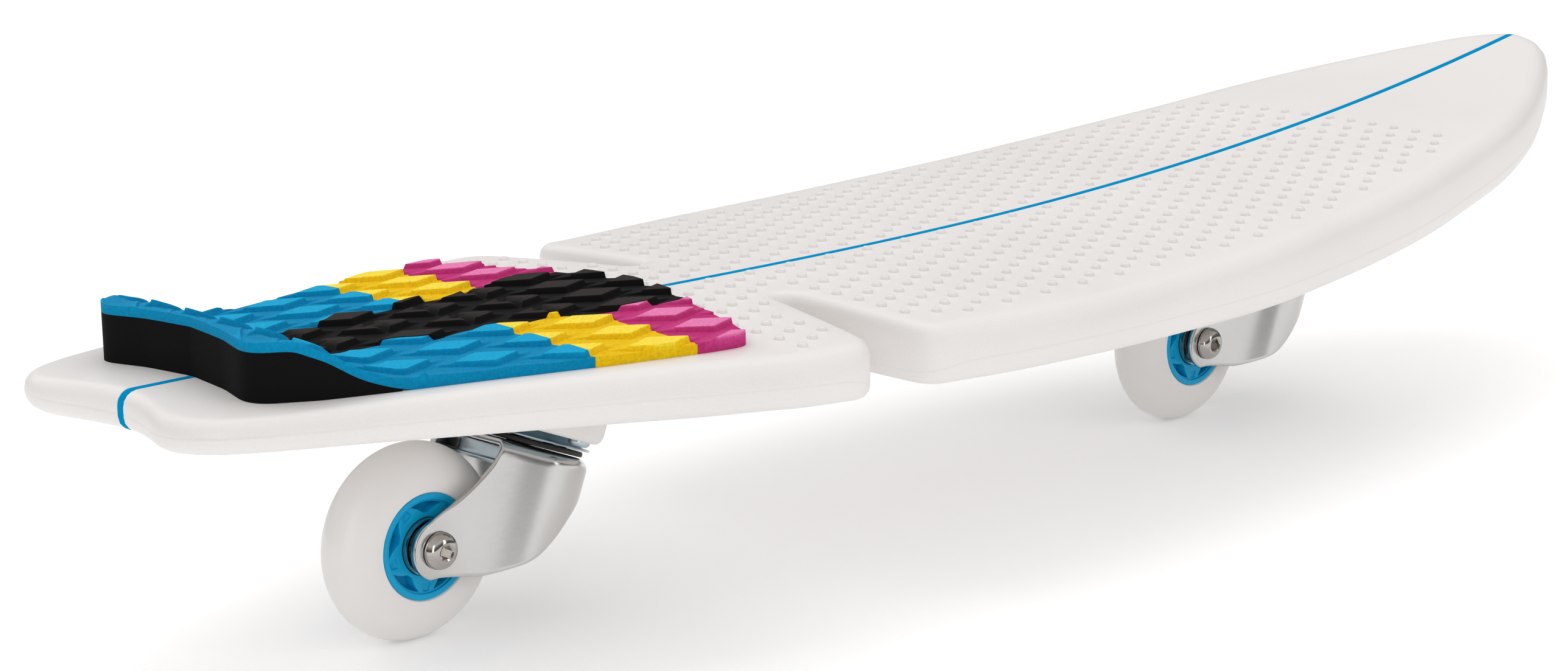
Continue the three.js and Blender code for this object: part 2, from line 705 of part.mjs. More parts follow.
// Tyre section: a half ellipse of tread over a straight bore
function tyre() {
  const shoulder = hubRadius + gap;
  const half = wheelWidth / 2;
  const profile = [[shoulder, -treadShoulder]];
  for (let degrees = -80; degrees <= 80; degrees += 20) {
    const angle = radians(degrees);
    const rise = (wheelRadius - shoulder) * Math.cos(angle) ** treadFullness;
    profile.push([shoulder + rise, half * Math.sin(angle)]);
  }
  profile.push([shoulder, treadShoulder], [shoulder, -treadShoulder]);
  return acrossBoard(turned(profile, fine));
}

function pocketOutline() {
  const [a, b] = [radians(pocketHalfAngle), radians(pocketTipAngle)];
  return [
    [pocketInner * Math.cos(b), -pocketInner * Math.sin(b)],
    [pocketOuter * Math.cos(a), -pocketOuter * Math.sin(a)],
    [pocketOuter * Math.cos(a / 2), -pocketOuter * Math.sin(a / 2)],
    [pocketOuter, 0],
    [pocketOuter * Math.cos(a / 2), pocketOuter * Math.sin(a / 2)],
    [pocketOuter * Math.cos(a), pocketOuter * Math.sin(a)],
    [pocketInner * Math.cos(b), pocketInner * Math.sin(b)],
  ];
}

// Hub with a rim, a web with pockets on both faces and a seat for each bearing
function hub() {
  const web = hubHalfWidth - hubWebInset;
  const seat = bearingOuter + gap;
  const step = bearingInside - gap;
  const lip = bearingOuter - bearingRing;
  const half = [
    [lip, step], [seat, step], [seat, web], [hubRadius - hubRimWall, web],
    [hubRadius - hubRimWall, hubHalfWidth], [hubRadius, hubHalfWidth],
  ];
  const other = half.map(([radius, y]) => [radius, -y]).reverse();
  const body = solidOf(turned([...half, ...other, half[0]], fine));
  const pockets = [];
  for (const side of [1, -1]) {
    const [low, high] = sided(side, web - pocketDepth, web + overrun);
    for (let i = 0; i < pocketCount; i += 1) {
      const pocket = prism(pocketOutline(), low, high);
      pockets.push(solidOf(pocket.rotateZ(2 * Math.PI * i / pocketCount + Math.PI / 2)));
    }
  }
  const cut = pockets.reduce((part, pocket) => part.subtract(pocket), body);
  return placedOn(cut, new THREE.Matrix4().makeRotationX(Math.PI / 2));
}

const sided = (side, low, high) => (side > 0 ? [low, high] : [-high, -low]);

function bearingOuterRing(side) {
  const [low, high] = sided(side, bearingInside, bearingFace);
  return acrossBoard(ring(bearingOuter - bearingRing, bearingOuter, -high, -low, medium));
}

// Inner ring with the shield that closes the bearing's outward face
function bearingInnerRing(side) {
  const edge = bearingOuter - bearingRing - gap;
  const step = bearingBore + bearingRing;
  const [inside, back, face] = [bearingInside, bearingFace - 2 * shieldInset, bearingFace - shieldInset];
  const profile = [
    [bearingBore, inside], [step, inside], [step, back], [edge, back], [edge, face],
    [step, face], [bearingBore, bearingFace], [bearingBore, inside],
  ];
  return acrossBoard(turned(profile.map(([radius, y]) => [radius, -side * y]), coarse));
}

const hubSpacer = () => acrossBoard(ring(bearingBore, bearingBore + hubSpacerWall, -bearingInside + gap,
  bearingInside - gap, coarse));

function sideSpacer(side) {
  const [low, high] = sided(side, bearingFace + gap, legHalfGap - gap);
  return acrossBoard(ring(bearingBore, sideSpacerRadius, -high, -low, coarse));
}

// Domed axle bolt with a hexagon socket; its head is on the rider's right
const axleDomeShares = [[0, 1], [0.45, 1], [0.8, 0.75], [1, 0.2], [1, 0]];
function axleBolt() {
  const under = legOuter + gap;
  const head = under + axleHeadHeight;
  const far = legOuter + gap + axleNutHeight + axleTail;
  const dome = axleDomeShares.map(([out, up]) => [axleHeadRadius * out, under + axleHeadHeight * up]);
  const body = solidOf(turned([...dome, [axleRadius, under], [axleRadius, -far], [0, -far]], coarse));
  const socket = solidOf(prism(hexagon(2 * axleSocketRadius * Math.cos(Math.PI / 6)), head - axleSocketDepth,
    head + overrun));
  return placedOn(body.subtract(socket), new THREE.Matrix4().makeRotationX(Math.PI / 2));
}

function axleNut() {
  const face = legOuter + gap;
  const body = solidOf(prism(hexagon(axleNutFlats), -face - axleNutHeight, -face));
  const bore = solidOf(disc(axleRadius + gap, -face - axleNutHeight - overrun, -face + overrun, coarse));
  return placedOn(body.subtract(bore), new THREE.Matrix4().makeRotationX(Math.PI / 2));
}

function wheelGroup(end) {
  const group = new THREE.Group();
  group.add(named(`${end}_tyre`, tyre(), finish.tread));
  group.add(named(`${end}_hub`, hub(), finish.blue));
  group.add(named(`${end}_hub_spacer`, hubSpacer(), finish.steel));
  for (const [hand, side] of [['left', 1], ['right', -1]]) {
    group.add(named(`${end}_bearing_outer_${hand}`, bearingOuterRing(side), finish.steel));
    group.add(named(`${end}_bearing_inner_${hand}`, bearingInnerRing(side), finish.steel));
    group.add(named(`${end}_side_spacer_${hand}`, sideSpacer(side), finish.steel));
  }
  group.add(named(`${end}_axle_bolt`, axleBolt(), finish.steel));
  group.add(named(`${end}_axle_nut`, axleNut(), finish.zinc));
  return group;
}

function casterGroup(end, axleX) {
  const swivel = new THREE.Group();
  swivel.applyMatrix4(swivelMatrix(axleX));
  swivel.add(named(`${end}_base_plate`, basePlate(), finish.zinc));
  screwPlaces.forEach(([x, y], i) => {
    const screw = named(`${end}_plate_screw_${i + 1}`, plateScrew(), finish.zinc);
    screw.position.set(x, y, 0);
    swivel.add(screw);
  });
  swivel.add(named(`${end}_kingpin`, kingpin(), finish.steel));
  swivel.add(named(`${end}_kingpin_nut`, kingpinNut(), finish.zinc));
  swivel.add(named(`${end}_upper_ball_ring`, ballRing(crownTop, flangeUnder), finish.steel));
  swivel.add(named(`${end}_lower_ball_ring`, ballRing(cupFloor, crownUnder), finish.steel));
  swivel.add(named(`${end}_lower_cup`, lowerCup(), finish.zinc));
  const screw = named(`${end}_cup_lock_screw`, lockScrew(), finish.zinc);
  screw.applyMatrix4(lockScrewMatrix());
  swivel.add(screw);
  swivel.add(named(`${end}_dust_seal`,
    solidOf(ring(sealBore, sealRadius, -sealThickness, 0, fine)), finish.black));
  swivel.add(named(`${end}_fork`, fork(), finish.nickel));

  const caster = new THREE.Group();
  const wheel = wheelGroup(end);
  wheel.position.set(axleX, 0, wheelRadius);
  caster.add(swivel, wheel);
  return caster;
}

const board = new THREE.Group();
board.add(named('deck_front', deck(splitX + gap / 2, noseX), finish.deck));
board.add(named('deck_tail', deck(tailX, splitX - gap / 2), finish.deck));
board.add(named('stripe_front',
  solidOf(stripeBody(splitX + gap / 2, noseX - stripeNoseInset, 0)), finish.blue));
board.add(named('stripe_tail',
  solidOf(stripeBody(tailX + swallowDepth + stripeTailInset, splitX - gap / 2, 0)), finish.blue));
board.add(...padParts());
board.add(casterGroup('rear', rearAxleX), casterGroup('front', frontAxleX));

export default board;
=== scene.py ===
# %% [markdown]
# # Caster board, lesson 1: the frame
# The board is already solved as a set of solids with joints. Loading it gives every body, node and
# joint in metres, so a piece drawn at its real place is already where it belongs.
# %% Load the frame
import math
from math import cos, dist, hypot, pi, radians, sin, tau
import bmesh
import bpy
from mathutils import Matrix, Vector
from mathutils.geometry import convex_hull_2d


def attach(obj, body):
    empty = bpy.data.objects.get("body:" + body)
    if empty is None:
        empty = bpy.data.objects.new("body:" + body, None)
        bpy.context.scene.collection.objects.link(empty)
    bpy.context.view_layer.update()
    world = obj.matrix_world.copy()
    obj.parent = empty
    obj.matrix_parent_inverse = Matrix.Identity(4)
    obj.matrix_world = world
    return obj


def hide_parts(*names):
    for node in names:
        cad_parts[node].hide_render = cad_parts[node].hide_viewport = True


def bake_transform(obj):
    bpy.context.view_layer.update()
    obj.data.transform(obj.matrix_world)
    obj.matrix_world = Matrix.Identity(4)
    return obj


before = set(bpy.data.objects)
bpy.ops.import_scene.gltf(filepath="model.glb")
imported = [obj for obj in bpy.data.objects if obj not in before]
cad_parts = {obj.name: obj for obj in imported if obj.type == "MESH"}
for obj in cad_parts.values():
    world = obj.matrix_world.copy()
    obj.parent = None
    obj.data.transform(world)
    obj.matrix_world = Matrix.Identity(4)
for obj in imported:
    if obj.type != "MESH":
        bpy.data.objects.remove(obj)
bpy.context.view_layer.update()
print("nodes in the frame:", len(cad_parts))

# %% [markdown]
# ## The working unit
# Every mesh below is drawn in millimetres and shrunk once, when it becomes a piece.
# %% Millimetres and curves
MM = 0.001


def through(table):
    """A smooth curve through rows of (place, value), as a function of the place."""
    places, values = zip(*table)
    last = len(table) - 1

    def slope(i):
        before, after = max(i - 1, 0), min(i + 1, last)
        return (values[after] - values[before]) / (places[after] - places[before])

    def at(place):
        k = next((i for i, known in enumerate(places) if known >= place), last)
        k = max(k, 1)
        span = places[k] - places[k - 1]
        t = min(max((place - places[k - 1]) / span, 0), 1)
        eased = (1 + 2 * t) * (1 - t) ** 2 * values[k - 1] + t * t * (3 - 2 * t) * values[k]
        return eased + span * (t * (1 - t) ** 2 * slope(k - 1) - t * t * (1 - t) * slope(k))

    return at


def ease(low, high, value):
    """0 below low, 1 above high, and a smooth rise between them."""
    t = min(max((value - low) / (high - low), 0), 1)
    return t * t * (3 - 2 * t)


def between(a, b, t):
    """The point at share t of the way from a to b."""
    return tuple(p + (q - p) * t for p, q in zip(a, b))


# %% [markdown]
# ## Shader sums
# Finishes are node trees. One small class wraps a socket and lets Python's own operators add the
# Math nodes. A second class adds every other kind of node through a single method.
# %% Sockets that can be added up
class Wire:
    """One output socket; arithmetic on it adds Math nodes."""

    def __init__(self, socket):
        self.socket = socket

    def _sum(self, operation, first, second):
        node = self.socket.id_data.nodes.new("ShaderNodeMath")
        node.operation = operation
        feed(node.inputs[0], first)
        feed(node.inputs[1], second)
        return Wire(node.outputs[0])

    def __getitem__(self, name):
        return Wire(self.socket.node.outputs[name])

    def __add__(self, other): return self._sum("ADD", self, other)
    def __radd__(self, other): return self._sum("ADD", other, self)
    def __sub__(self, other): return self._sum("SUBTRACT", self, other)
    def __mul__(self, other): return self._sum("MULTIPLY", self, other)
    def least(self, other): return self._sum("MINIMUM", self, other)


def feed(socket, value):
    """A wire is linked to the socket, and anything else becomes its value."""
    if isinstance(value, Wire):
        socket.id_data.links.new(value.socket, socket)
    else:
        socket.default_value = value


# %% Node trees
def shade(code):
    """A colour from its six-figure web code, as the linear light that shaders use."""
    parts = [int(code[i:i + 2], 16) / 255 for i in (0, 2, 4)]
    light = [p / 12.92 if p <= 0.04045 else ((p + 0.055) / 1.055) ** 2.4 for p in parts]
    return (*light, 1.0)


def grey(level):
    return (level, level, level, 1)


class Nodes:
    """The node tree of a material or a world."""

    def __init__(self, owner):
        owner.use_nodes = True
        self.owner, self.tree = owner, owner.node_tree

    def node(self, kind, settings=None, **values):
        """Any node: its settings first, then the values or links of its sockets."""
        node = self.tree.nodes.new("ShaderNode" + kind)
        for key, value in (settings or {}).items():
            setattr(node, key, value)
        for name, value in values.items():
            feed(node.inputs[name], value)
        return Wire(next(o for o in node.outputs if o.enabled))

    def ramp(self, factor, *stops):
        """A colour ramp through stops of (place, colour)."""
        wire = self.node("ValToRGB", Fac=factor)
        elements = wire.socket.node.color_ramp.elements
        while len(elements) < len(stops):
            elements.new(0.5)
        for stop, (at, colour) in zip(elements, stops):
            stop.position, stop.color = at, colour
        return wire

    def mix(self, factor, first, second, blend="MIX"):
        node = self.node("Mix", {"data_type": "RGBA", "blend_type": blend}).socket.node
        for index, value in ((0, factor), (6, first), (7, second)):
            feed(node.inputs[index], value)
        return Wire(node.outputs[2])

    def wear(self, shader, **inputs):
        """Sets or links what the shader is given, and hands back the material or world."""
        for socket, value in inputs.items():
            feed(self.tree.nodes[shader].inputs[socket.replace("_", " ")], value)
        return self.owner


# %% One finish
class Finish(Nodes):
    """A material around one Principled shader. Constants go on the shader's own sockets."""

    def __init__(self, name, **constants):
        super().__init__(bpy.data.materials.new(name))
        self.wear("Principled BSDF", **constants)
        self.place = self.node("TexCoord")["Object"]

    def noise(self, scale, detail=2.0, rough=0.5):
        return self.node("TexNoise", Vector=self.place, Scale=scale, Detail=detail, Roughness=rough)

    def stored(self, name):
        """A number kept on the mesh's own points."""
        return self.node("Attribute", {"attribute_name": name})["Fac"]

    def surface(self, tone, roughness, height, distance, strength):
        """Links what changes over the surface: its colour, its roughness and its relief."""
        bump = self.node("Bump", Height=height, Distance=distance, Strength=strength)
        return self.wear("Principled BSDF", Base_Color=tone, Roughness=roughness, Normal=bump)


# %% [markdown]
# ## The finishes
# The deck is injection-moulded plastic: warm off-white with a fine spark texture. A fine grain
# moves its roughness and its surface, and a very slow cloud moves its tone. The parting line of the
# mould is stored on the mesh as a number, because only the mesh knows where its halves met.
# %% Deck plastic
def moulding(name):
    finish = Finish(name, Specular_IOR_Level=0.4)
    cloud = finish.noise(9, 2)
    grain = finish.noise(1500, 2, 0.6)
    tone = finish.mix(cloud, shade("E4E0DD"), shade("EDEAE8"))
    speck = finish.ramp(grain, (0.3, shade("F2F0EE")), (0.7, shade("FFFFFF")))
    tone = finish.mix(0.3, tone, speck, "MULTIPLY")
    seam = finish.stored("parting")
    tone = finish.mix(seam * 0.08, tone, shade("BDB6B0"))
    rough = 0.34 + grain * 0.12 + cloud * 0.05
    return finish.surface(tone, rough, grain + seam * 0.4, 0.00006, 0.16)


# %% [markdown]
# The grip pad is closed-cell foam in four colours. Its tops are painted paler and chalky as painted
# light, while its sides and valleys are painted a darker colour as painted shade. The height of the
# relief and its steepness come from the mesh.
# %% Foams
CELLS_PER_METRE = 1100.0


# body is the foam's own colour; top is a paler colour painted on the tops as painted light; the
# third colour is painted in the valleys and on the sides as painted shade.
def foam(name, body, top, painted_shade):
    finish = Finish(name, Specular_IOR_Level=0.12)
    cells = finish.node("TexVoronoi", Vector=finish.place, Scale=CELLS_PER_METRE)
    grain = finish.noise(CELLS_PER_METRE * 0.8, 3, 0.65)
    height, steep = finish.stored("height"), finish.stored("steep")
    # Painted shade in the low valleys and painted light on the high tops, mixed by relief height.
    tone = finish.mix(height, shade(painted_shade), shade(body))
    # Painted highlight: the highest, flattest tops turn towards the paler top colour.
    painted_top_light = finish.ramp(height - steep * 1.6 + grain * 0.25, (0.55, grey(0)), (1.0, grey(1)))
    tone = finish.mix(painted_top_light, tone, shade(top))
    # Painted shade: steep sides turn towards the darker colour.
    tone = finish.mix((steep * 0.9).least(1.0), tone, shade(painted_shade))
    fleck = finish.ramp(grain, (0.28, grey(0.72)), (0.62, grey(1.06)))
    tone = finish.mix(0.8, tone, fleck, "MULTIPLY")
    return finish.surface(tone, 0.74 + grain * 0.2, cells * 0.8 + grain, 0.00012, 0.5)


# %% [markdown]
# The fork is pressed steel under satin nickel, whose fine polishing lines run along the press. The
# cup, plate and nuts are zinc-plated, so their shine is bluish and cloudy. The axle bolt, kingpin
# and bearings are polished. One maker builds all three.
# %% Metals
def metal(name, pale, dark, roughness, cloud_scale, marks, grain_scale=(900, 900, 900)):
    finish = Finish(name, Metallic=1.0)
    cloud = finish.noise(cloud_scale, 3, 0.6)
    stretched = finish.node("Mapping", Vector=finish.place, Scale=grain_scale)
    grain = finish.node("TexNoise", Vector=stretched, Scale=1.0, Detail=3.0)
    tone = finish.mix(cloud, shade(dark), shade(pale))
    return finish.surface(tone, roughness + cloud * 0.1 + grain * 0.08 - 0.09, grain, marks, 0.3)


# %% [markdown]
# The tyres are cast urethane: milky, slightly glossy, with a faint bloom. The hubs are blue moulded
# plastic. The dust seals are black rubber, dull with a fine dusty bloom. With these makers, every
# slot of the record gets its finish from one row of a table.
# %% Urethane, hub plastic and rubber
def plastic(name, pale, dark, roughness, grain_scale=900, shine=0.5):
    finish = Finish(name, Specular_IOR_Level=shine)
    cloud, grain = finish.noise(40, 2), finish.noise(grain_scale, 2, 0.6)
    tone = finish.mix(cloud, shade(dark), shade(pale))
    rough = roughness + grain * 0.14 + cloud * 0.06 - 0.1
    return finish.surface(tone, rough, grain, 0.00004, 0.35)


ZINC, STEEL = "zinc_plated_steel", "polished_steel"
finishes = {"deck_shell": moulding("white_moulding")}
for maker, slot, *looks in (
        (plastic, "blue_stripe", "0093C8", "0087BC", 0.7, 1200, 0.0),
        # In each foam row: body colour, painted highlight colour for the tops, painted shade colour
        # for the valleys and sides.
        (foam, "black_foam", "161312", "2E2A28", "0B0A0A"),
        (foam, "blue_foam", "0096C8", "0CA4D2", "0085B4"),
        (foam, "yellow_foam", "F8D822", "FADF48", "EABE0C"),
        (foam, "magenta_foam", "E0559C", "E87FB4", "BC2F74"),
        (metal, ZINC, "C6D2D8", "9FB0B8", 0.3, 90, 0.00003),
        (metal, STEEL, "BDB9B5", "A6A19C", 0.09, 50, 0.00001),
        (metal, "satin_nickel_steel", "CFCECC", "BDBBB9", 0.2, 30, 0.00001, (90, 900, 900)),
        (plastic, "black_rubber", "1E1C1B", "121010", 0.6),
        (plastic, "white_urethane", "ECE9E7", "E4E1DE", 0.34, 700, 0.45),
        (plastic, "blue_plastic", "00A8DA", "0099CC", 0.42, 900, 0.22)):
    finishes[slot] = maker(slot, *looks)
print("finishes:", ", ".join(finishes))

# %% [markdown]
# ## From a mesh to a piece
# Every new piece ends the same way: it is laid in its place, its faces are turned outwards, it is
# shrunk to metres, it gets the finish of its record slot, the nodes it stands for are hidden, and
# it hangs on the body it rides on, if it has one. One function does that, so no piece can miss a
# step.
# %% Finishing a piece
def face_out(mesh):
    bmesh.ops.recalc_face_normals(mesh, faces=mesh.faces)


def in_scene(name, data):
    thing = bpy.data.objects.new(name, data)
    bpy.context.collection.objects.link(thing)
    return thing


def closed_piece(name, mesh, slot, nodes=(), body=None, sharp=35.0, at=None):
    """The bmesh, drawn in millimetres, becomes an object with its slot's finish; its nodes are
    hidden and it rides on its body, if any.
    """
    if at is not None:
        bmesh.ops.transform(mesh, matrix=at, verts=mesh.verts)
    bmesh.ops.remove_doubles(mesh, verts=mesh.verts, dist=1e-4)
    face_out(mesh)
    bmesh.ops.scale(mesh, vec=(MM, MM, MM), verts=mesh.verts)
    data = bpy.data.meshes.new(name)
    open_edges = sum(not edge.is_manifold for edge in mesh.edges)
    mesh.to_mesh(data)
    mesh.free()
    data.polygons.foreach_set("use_smooth", [True] * len(data.polygons))
    data.set_sharp_from_angle(angle=radians(sharp))
    data.materials.append(finishes[slot])
    piece = in_scene(name, data)
    if nodes:
        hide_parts(*nodes)
    if body:
        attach(piece, body)
    print(f"{name}: {len(data.polygons)} faces, {open_edges} open edges")
    return piece


# %% [markdown]
# ## The deck
# The real deck is one moulding that twists at its neck. It has a crowned top, big soft rails, two
# side slots and a swallow-cut tail. Its plan outline is worked out once and everything hangs from
# it. First come the measured curves: width, rail thickness and height along the board.
# %% Deck curves
BOARD_LENGTH, BOARD_WIDTH, THICKNESS, CROWN = 850.0, 256.0, 28.0, 4.6
TAIL, NOSE = -BOARD_LENGTH / 2, BOARD_LENGTH / 2
LOW_POINT, DECK_HEIGHT, BELLY = -37.0, 112.8, 1.6
NOSE_RISE, NOSE_POWER, TAIL_RISE = 37.6, 2.15, 5.4

width_share = through([
    (0, 0.375), (0.007, 0.405), (0.021, 0.465), (0.044, 0.527), (0.092, 0.607), (0.185, 0.764),
    (0.218, 0.826), (0.255, 0.905), (0.273, 0.938), (0.3, 0.945), (0.33, 0.932), (0.353, 0.925),
    (0.381, 0.953), (0.407, 0.975), (0.461, 1), (0.539, 0.986), (0.591, 0.964), (0.642, 0.922),
    (0.695, 0.878), (0.747, 0.822), (0.798, 0.747), (0.849, 0.668), (0.894, 0.557), (0.936, 0.414),
    (0.966, 0.288), (0.985, 0.188), (0.9955, 0.095), (1, 0.02)])
thick_share = through([
    (0, 0.41), (0.044, 0.45), (0.13, 0.59), (0.218, 0.7), (0.27, 0.71), (0.364, 0.83),
    (0.453, 0.84), (0.53, 0.9), (0.621, 0.99), (0.78, 1.05), (0.9, 1), (0.97, 0.82), (1, 0.7)])


def half_width(x):
    return min(width_share((x - TAIL) / BOARD_LENGTH), 1) * BOARD_WIDTH / 2


def thickness(x):
    return thick_share((x - TAIL) / BOARD_LENGTH) * THICKNESS


def deck_top(x, y):
    """A slight kick at the tail and a long rise to the nose, crowned across."""
    if x > LOW_POINT:
        rise = NOSE_RISE * ((x - LOW_POINT) / (NOSE - LOW_POINT)) ** NOSE_POWER
    else:
        rise = TAIL_RISE * ease(0, 1, (LOW_POINT - x) / (LOW_POINT - TAIL))
    return DECK_HEIGHT + rise - CROWN * (2 * y / BOARD_WIDTH) ** 2


def deck_under(x, y):
    """Nearly flat across; at the tail the middle hangs a little lower than the rails."""
    x = min(max(x, TAIL), NOSE)
    half = half_width(x)
    rail = deck_top(x, half) - thickness(x)
    if half < 1:
        return rail
    return rail - BELLY * ease(-340, -400, x) * max(0, 1 - (y / half) ** 2)


print("deck height at tail and nose:", [round(deck_top(x, 0), 1) for x in (TAIL, NOSE)])

# %% [markdown]
# Next the plan outline of one half, from the notch in the tail to the tip of the nose, with the
# side slot on the way. The corners of a moulding are never sharp, so each is replaced by an easy
# curve that leaves both sides in their own direction. Each point also carries the radius of its
# edge: soft on the rails, crisper in the slot.
# %% Paths
def along(points, start, step, reach):
    """The point that lies reach along the path from points[start], and the index just past it."""
    i = start
    while (span := dist(points[i][:2], points[i + step][:2])) < reach:
        reach, i = reach - span, i + step
    return i + step, between(points[i], points[i + step], reach / span)


def soften(points, corner, reach, pull=0.62, count=10):
    """The path with one corner replaced by a curve that starts and ends reach away from it."""
    before, first = along(points, corner, -1, reach)
    after, last = along(points, corner, 1, reach)
    pulled = [between(end, points[corner], pull) for end in (first, last)]
    curve = []
    for k in range(count + 1):
        t = k / count
        shares = ((1 - t) ** 3, 3 * t * (1 - t) ** 2, 3 * t * t * (1 - t), t ** 3)
        curve.append(tuple(sum(s * p for s, p in zip(shares, knots))
                           for knots in zip(first, *pulled, last)))
    return points[:before + 1] + curve + points[after:]


def evenly(points, spacing):
    """The same path with points a constant distance apart."""
    total = sum(dist(a[:2], b[:2]) for a, b in zip(points, points[1:]))
    count = round(total / spacing)
    out, done, i = [points[0]], 0.0, 0
    for k in range(1, count):
        goal = total * k / count
        while done + (span := dist(points[i][:2], points[i + 1][:2])) < goal:
            done, i = done + span, i + 1
        out.append(between(points[i], points[i + 1], (goal - done) / span))
    return out + [points[-1]]


def relaxed(points, rounds):
    """Each point but the two ends moves towards the middle of its neighbours."""
    for _ in range(rounds):
        moved = [tuple((a + 2 * b + c) / 4 for a, b, c in zip(*three))
                 for three in zip(points, points[1:], points[2:])]
        points = [points[0], *moved, points[-1]]
    return points


def steps(start, stop, step):
    """From start towards stop, without reaching it."""
    return [start + step * k for k in range(math.ceil((stop - start) / step))]


# %% Deck outline
SLOT_FRONT, THROAT, MOUTH, NECK, SWALLOW, SWALLOW_HALF = -127.0, 11.0, 32.5, 40.4, 16.5, 47.0
RAIL_EDGE, SLOT_EDGE, TAIL_EDGE = 9.0, 4.2, 7.0
GROOVE_HALF, GROOVE_LIP, GROOVE_FREE, OUTLINE_STEP = 1.65, 1.95, 2.8, 1.7
swallow = through([(-1, 0), (-0.66, 0.5), (-0.3, 0.86), (0, 1), (0.3, 0.86), (0.66, 0.5), (1, 0)])


def deck_half(step=3, tip=4):
    """Points (x, y, edge radius) of the left half; the last tip of the nose has closer points."""
    centre = NECK + THROAT / 2
    lean = (MOUTH - THROAT) / (BOARD_WIDTH / 2 + 5 - centre)
    wall = lambda y: SLOT_FRONT - THROAT - lean * (y - centre)
    rail = lambda x: (x, half_width(x), RAIL_EDGE)
    path = [(TAIL + swallow(k / 24) * SWALLOW, k / 24 * SWALLOW_HALF, TAIL_EDGE)
            for k in range(24)]
    corners, x = [(len(path), 22)], TAIL
    while x < wall(half_width(x)):
        path.append(rail(x))
        x += step
    corners.append((len(path), 13))
    path.append((wall(half_width(x)), half_width(x), RAIL_EDGE))
    path += [(wall(y), y, SLOT_EDGE) for y in steps(half_width(x) - 4, centre, -step)]
    path += [(SLOT_FRONT - THROAT / 2 * (1 + cos(pi * k / 12)),
              centre - THROAT / 2 * sin(pi * k / 12), SLOT_EDGE) for k in range(13)]
    path += [(SLOT_FRONT, y, SLOT_EDGE)
             for y in steps(centre + step, half_width(SLOT_FRONT) - 2, step)]
    corners.append((len(path), 12))
    path += [rail(x) for x in steps(SLOT_FRONT, NOSE - tip, step)]
    path += [rail(NOSE - tip * (1 - k / 12) ** 2) for k in range(1, 13)] + [(NOSE, 0, RAIL_EDGE)]
    for corner, reach in corners[::-1]:
        path = soften(path, corner, reach)
    return path


def groove_end(place, radius):
    """Three points from the middle of the groove to its lip, just ahead of a place."""
    return [(place[0] + 0.1, y, radius) for y in (0, GROOVE_HALF, GROOVE_LIP)]


outline = relaxed(evenly(deck_half(), OUTLINE_STEP), 6)
outline = [place for place in outline if place[1] > GROOVE_FREE]
outline = (groove_end(outline[0], TAIL_EDGE) + outline
           + groove_end(outline[-1], RAIL_EDGE)[::-1])
outline += [(x, -y, r) for x, y, r in outline[-2:0:-1]]
print("deck outline:", len(outline), "points")

# %% [markdown]
# Bodies with changing sections all grow the same way: a ring of points is extruded, the new ring is
# moved to its place, and the next one follows. One helper does a step and another runs a whole list
# of rings, closing both ends, or joining the last ring to the first.
# %% Growing a body ring by ring
def circle(radius, height, count=64, turn=0.0):
    return [Vector((radius * cos(tau * k / count + turn), radius * sin(tau * k / count + turn),
                    height)) for k in range(count)]


def first_ring(mesh, places):
    """A closed ring of edges through the places, from a bmesh circle."""
    ring = bmesh.ops.create_circle(mesh, cap_ends=False, segments=len(places), radius=1)["verts"]
    for vertex, place in zip(ring, places):
        vertex.co = place
    return ring


def chain_edges(mesh, chain):
    return [mesh.edges.get(pair) for pair in zip(chain, chain[1:])]


def ring_edges(mesh, ring):
    return chain_edges(mesh, ring + ring[:1])


def made_points(result):
    return {g for g in result["geom"] if isinstance(g, bmesh.types.BMVert)}


def grow(mesh, ring, places, edges=None):
    """Extrudes a ring and moves the new one to its places; an open chain names its own edges."""
    made = bmesh.ops.extrude_edge_only(mesh, edges=edges or ring_edges(mesh, ring))
    fresh = made_points(made)
    following = [next(e.other_vert(v) for e in v.link_edges if e.other_vert(v) in fresh)
                 for v in ring]
    for vertex, place in zip(following, places):
        vertex.co = place
    return following


def cap(mesh, ring):
    return bmesh.ops.contextual_create(mesh, geom=ring_edges(mesh, ring))["faces"][0]


def grown(rings, mesh=None, joined=False):
    """A closed body through rings of equal count; joined makes a hoop of them."""
    mesh = mesh or bmesh.new()
    ring = start = first_ring(mesh, rings[0])
    for places in rings[1:]:
        ring = grow(mesh, ring, places)
    if joined:
        grow(mesh, ring, rings[0])
    else:
        cap(mesh, start)
        cap(mesh, ring)
    return mesh


# %% [markdown]
# The deck grows from its top rim, down a quarter circle, the side with its faint parting line, and
# another quarter circle. The two caps are single many-sided faces. A flat face is easy to cut, so
# both caps are sliced into cells by planes while they are flat, and only then are their points
# lifted to the deck's curved surface.
# %% Cutting a flat face into cells
def slice_cells(mesh, faces, direction, places):
    """Cuts the faces by planes square to direction; only what lies past a plane meets the next."""
    along_it, done, live = Vector(direction), set(), set(faces)
    farthest = lambda face: max(v.co.dot(along_it) for v in face.verts)
    for place in sorted(places):
        behind = {f for f in live if farthest(f) <= place + 1e-6}
        done, live = done | behind, live - behind
        if not live:
            break
        geometry = {v for f in live for v in f.verts} | {e for f in live for e in f.edges} | live
        cut = bmesh.ops.bisect_plane(mesh, geom=list(geometry), dist=1e-6,
                                     plane_no=along_it.normalized(),
                                     plane_co=along_it * place / along_it.length_squared)
        live = {g for g in cut["geom"] if isinstance(g, bmesh.types.BMFace)}
        behind = {f for f in live if f.calc_center_median().dot(along_it) <= place}
        done, live = done | behind, live - behind
    return done | live


def spread(low, high, step):
    """Evenly spaced places between two ends."""
    count = max(1, round((high - low) / step))
    return [low + (high - low) * k / count for k in range(1, count)]


# %% Edge radii that fit
OF_THICKNESS, OF_BEND = 0.47, 0.85


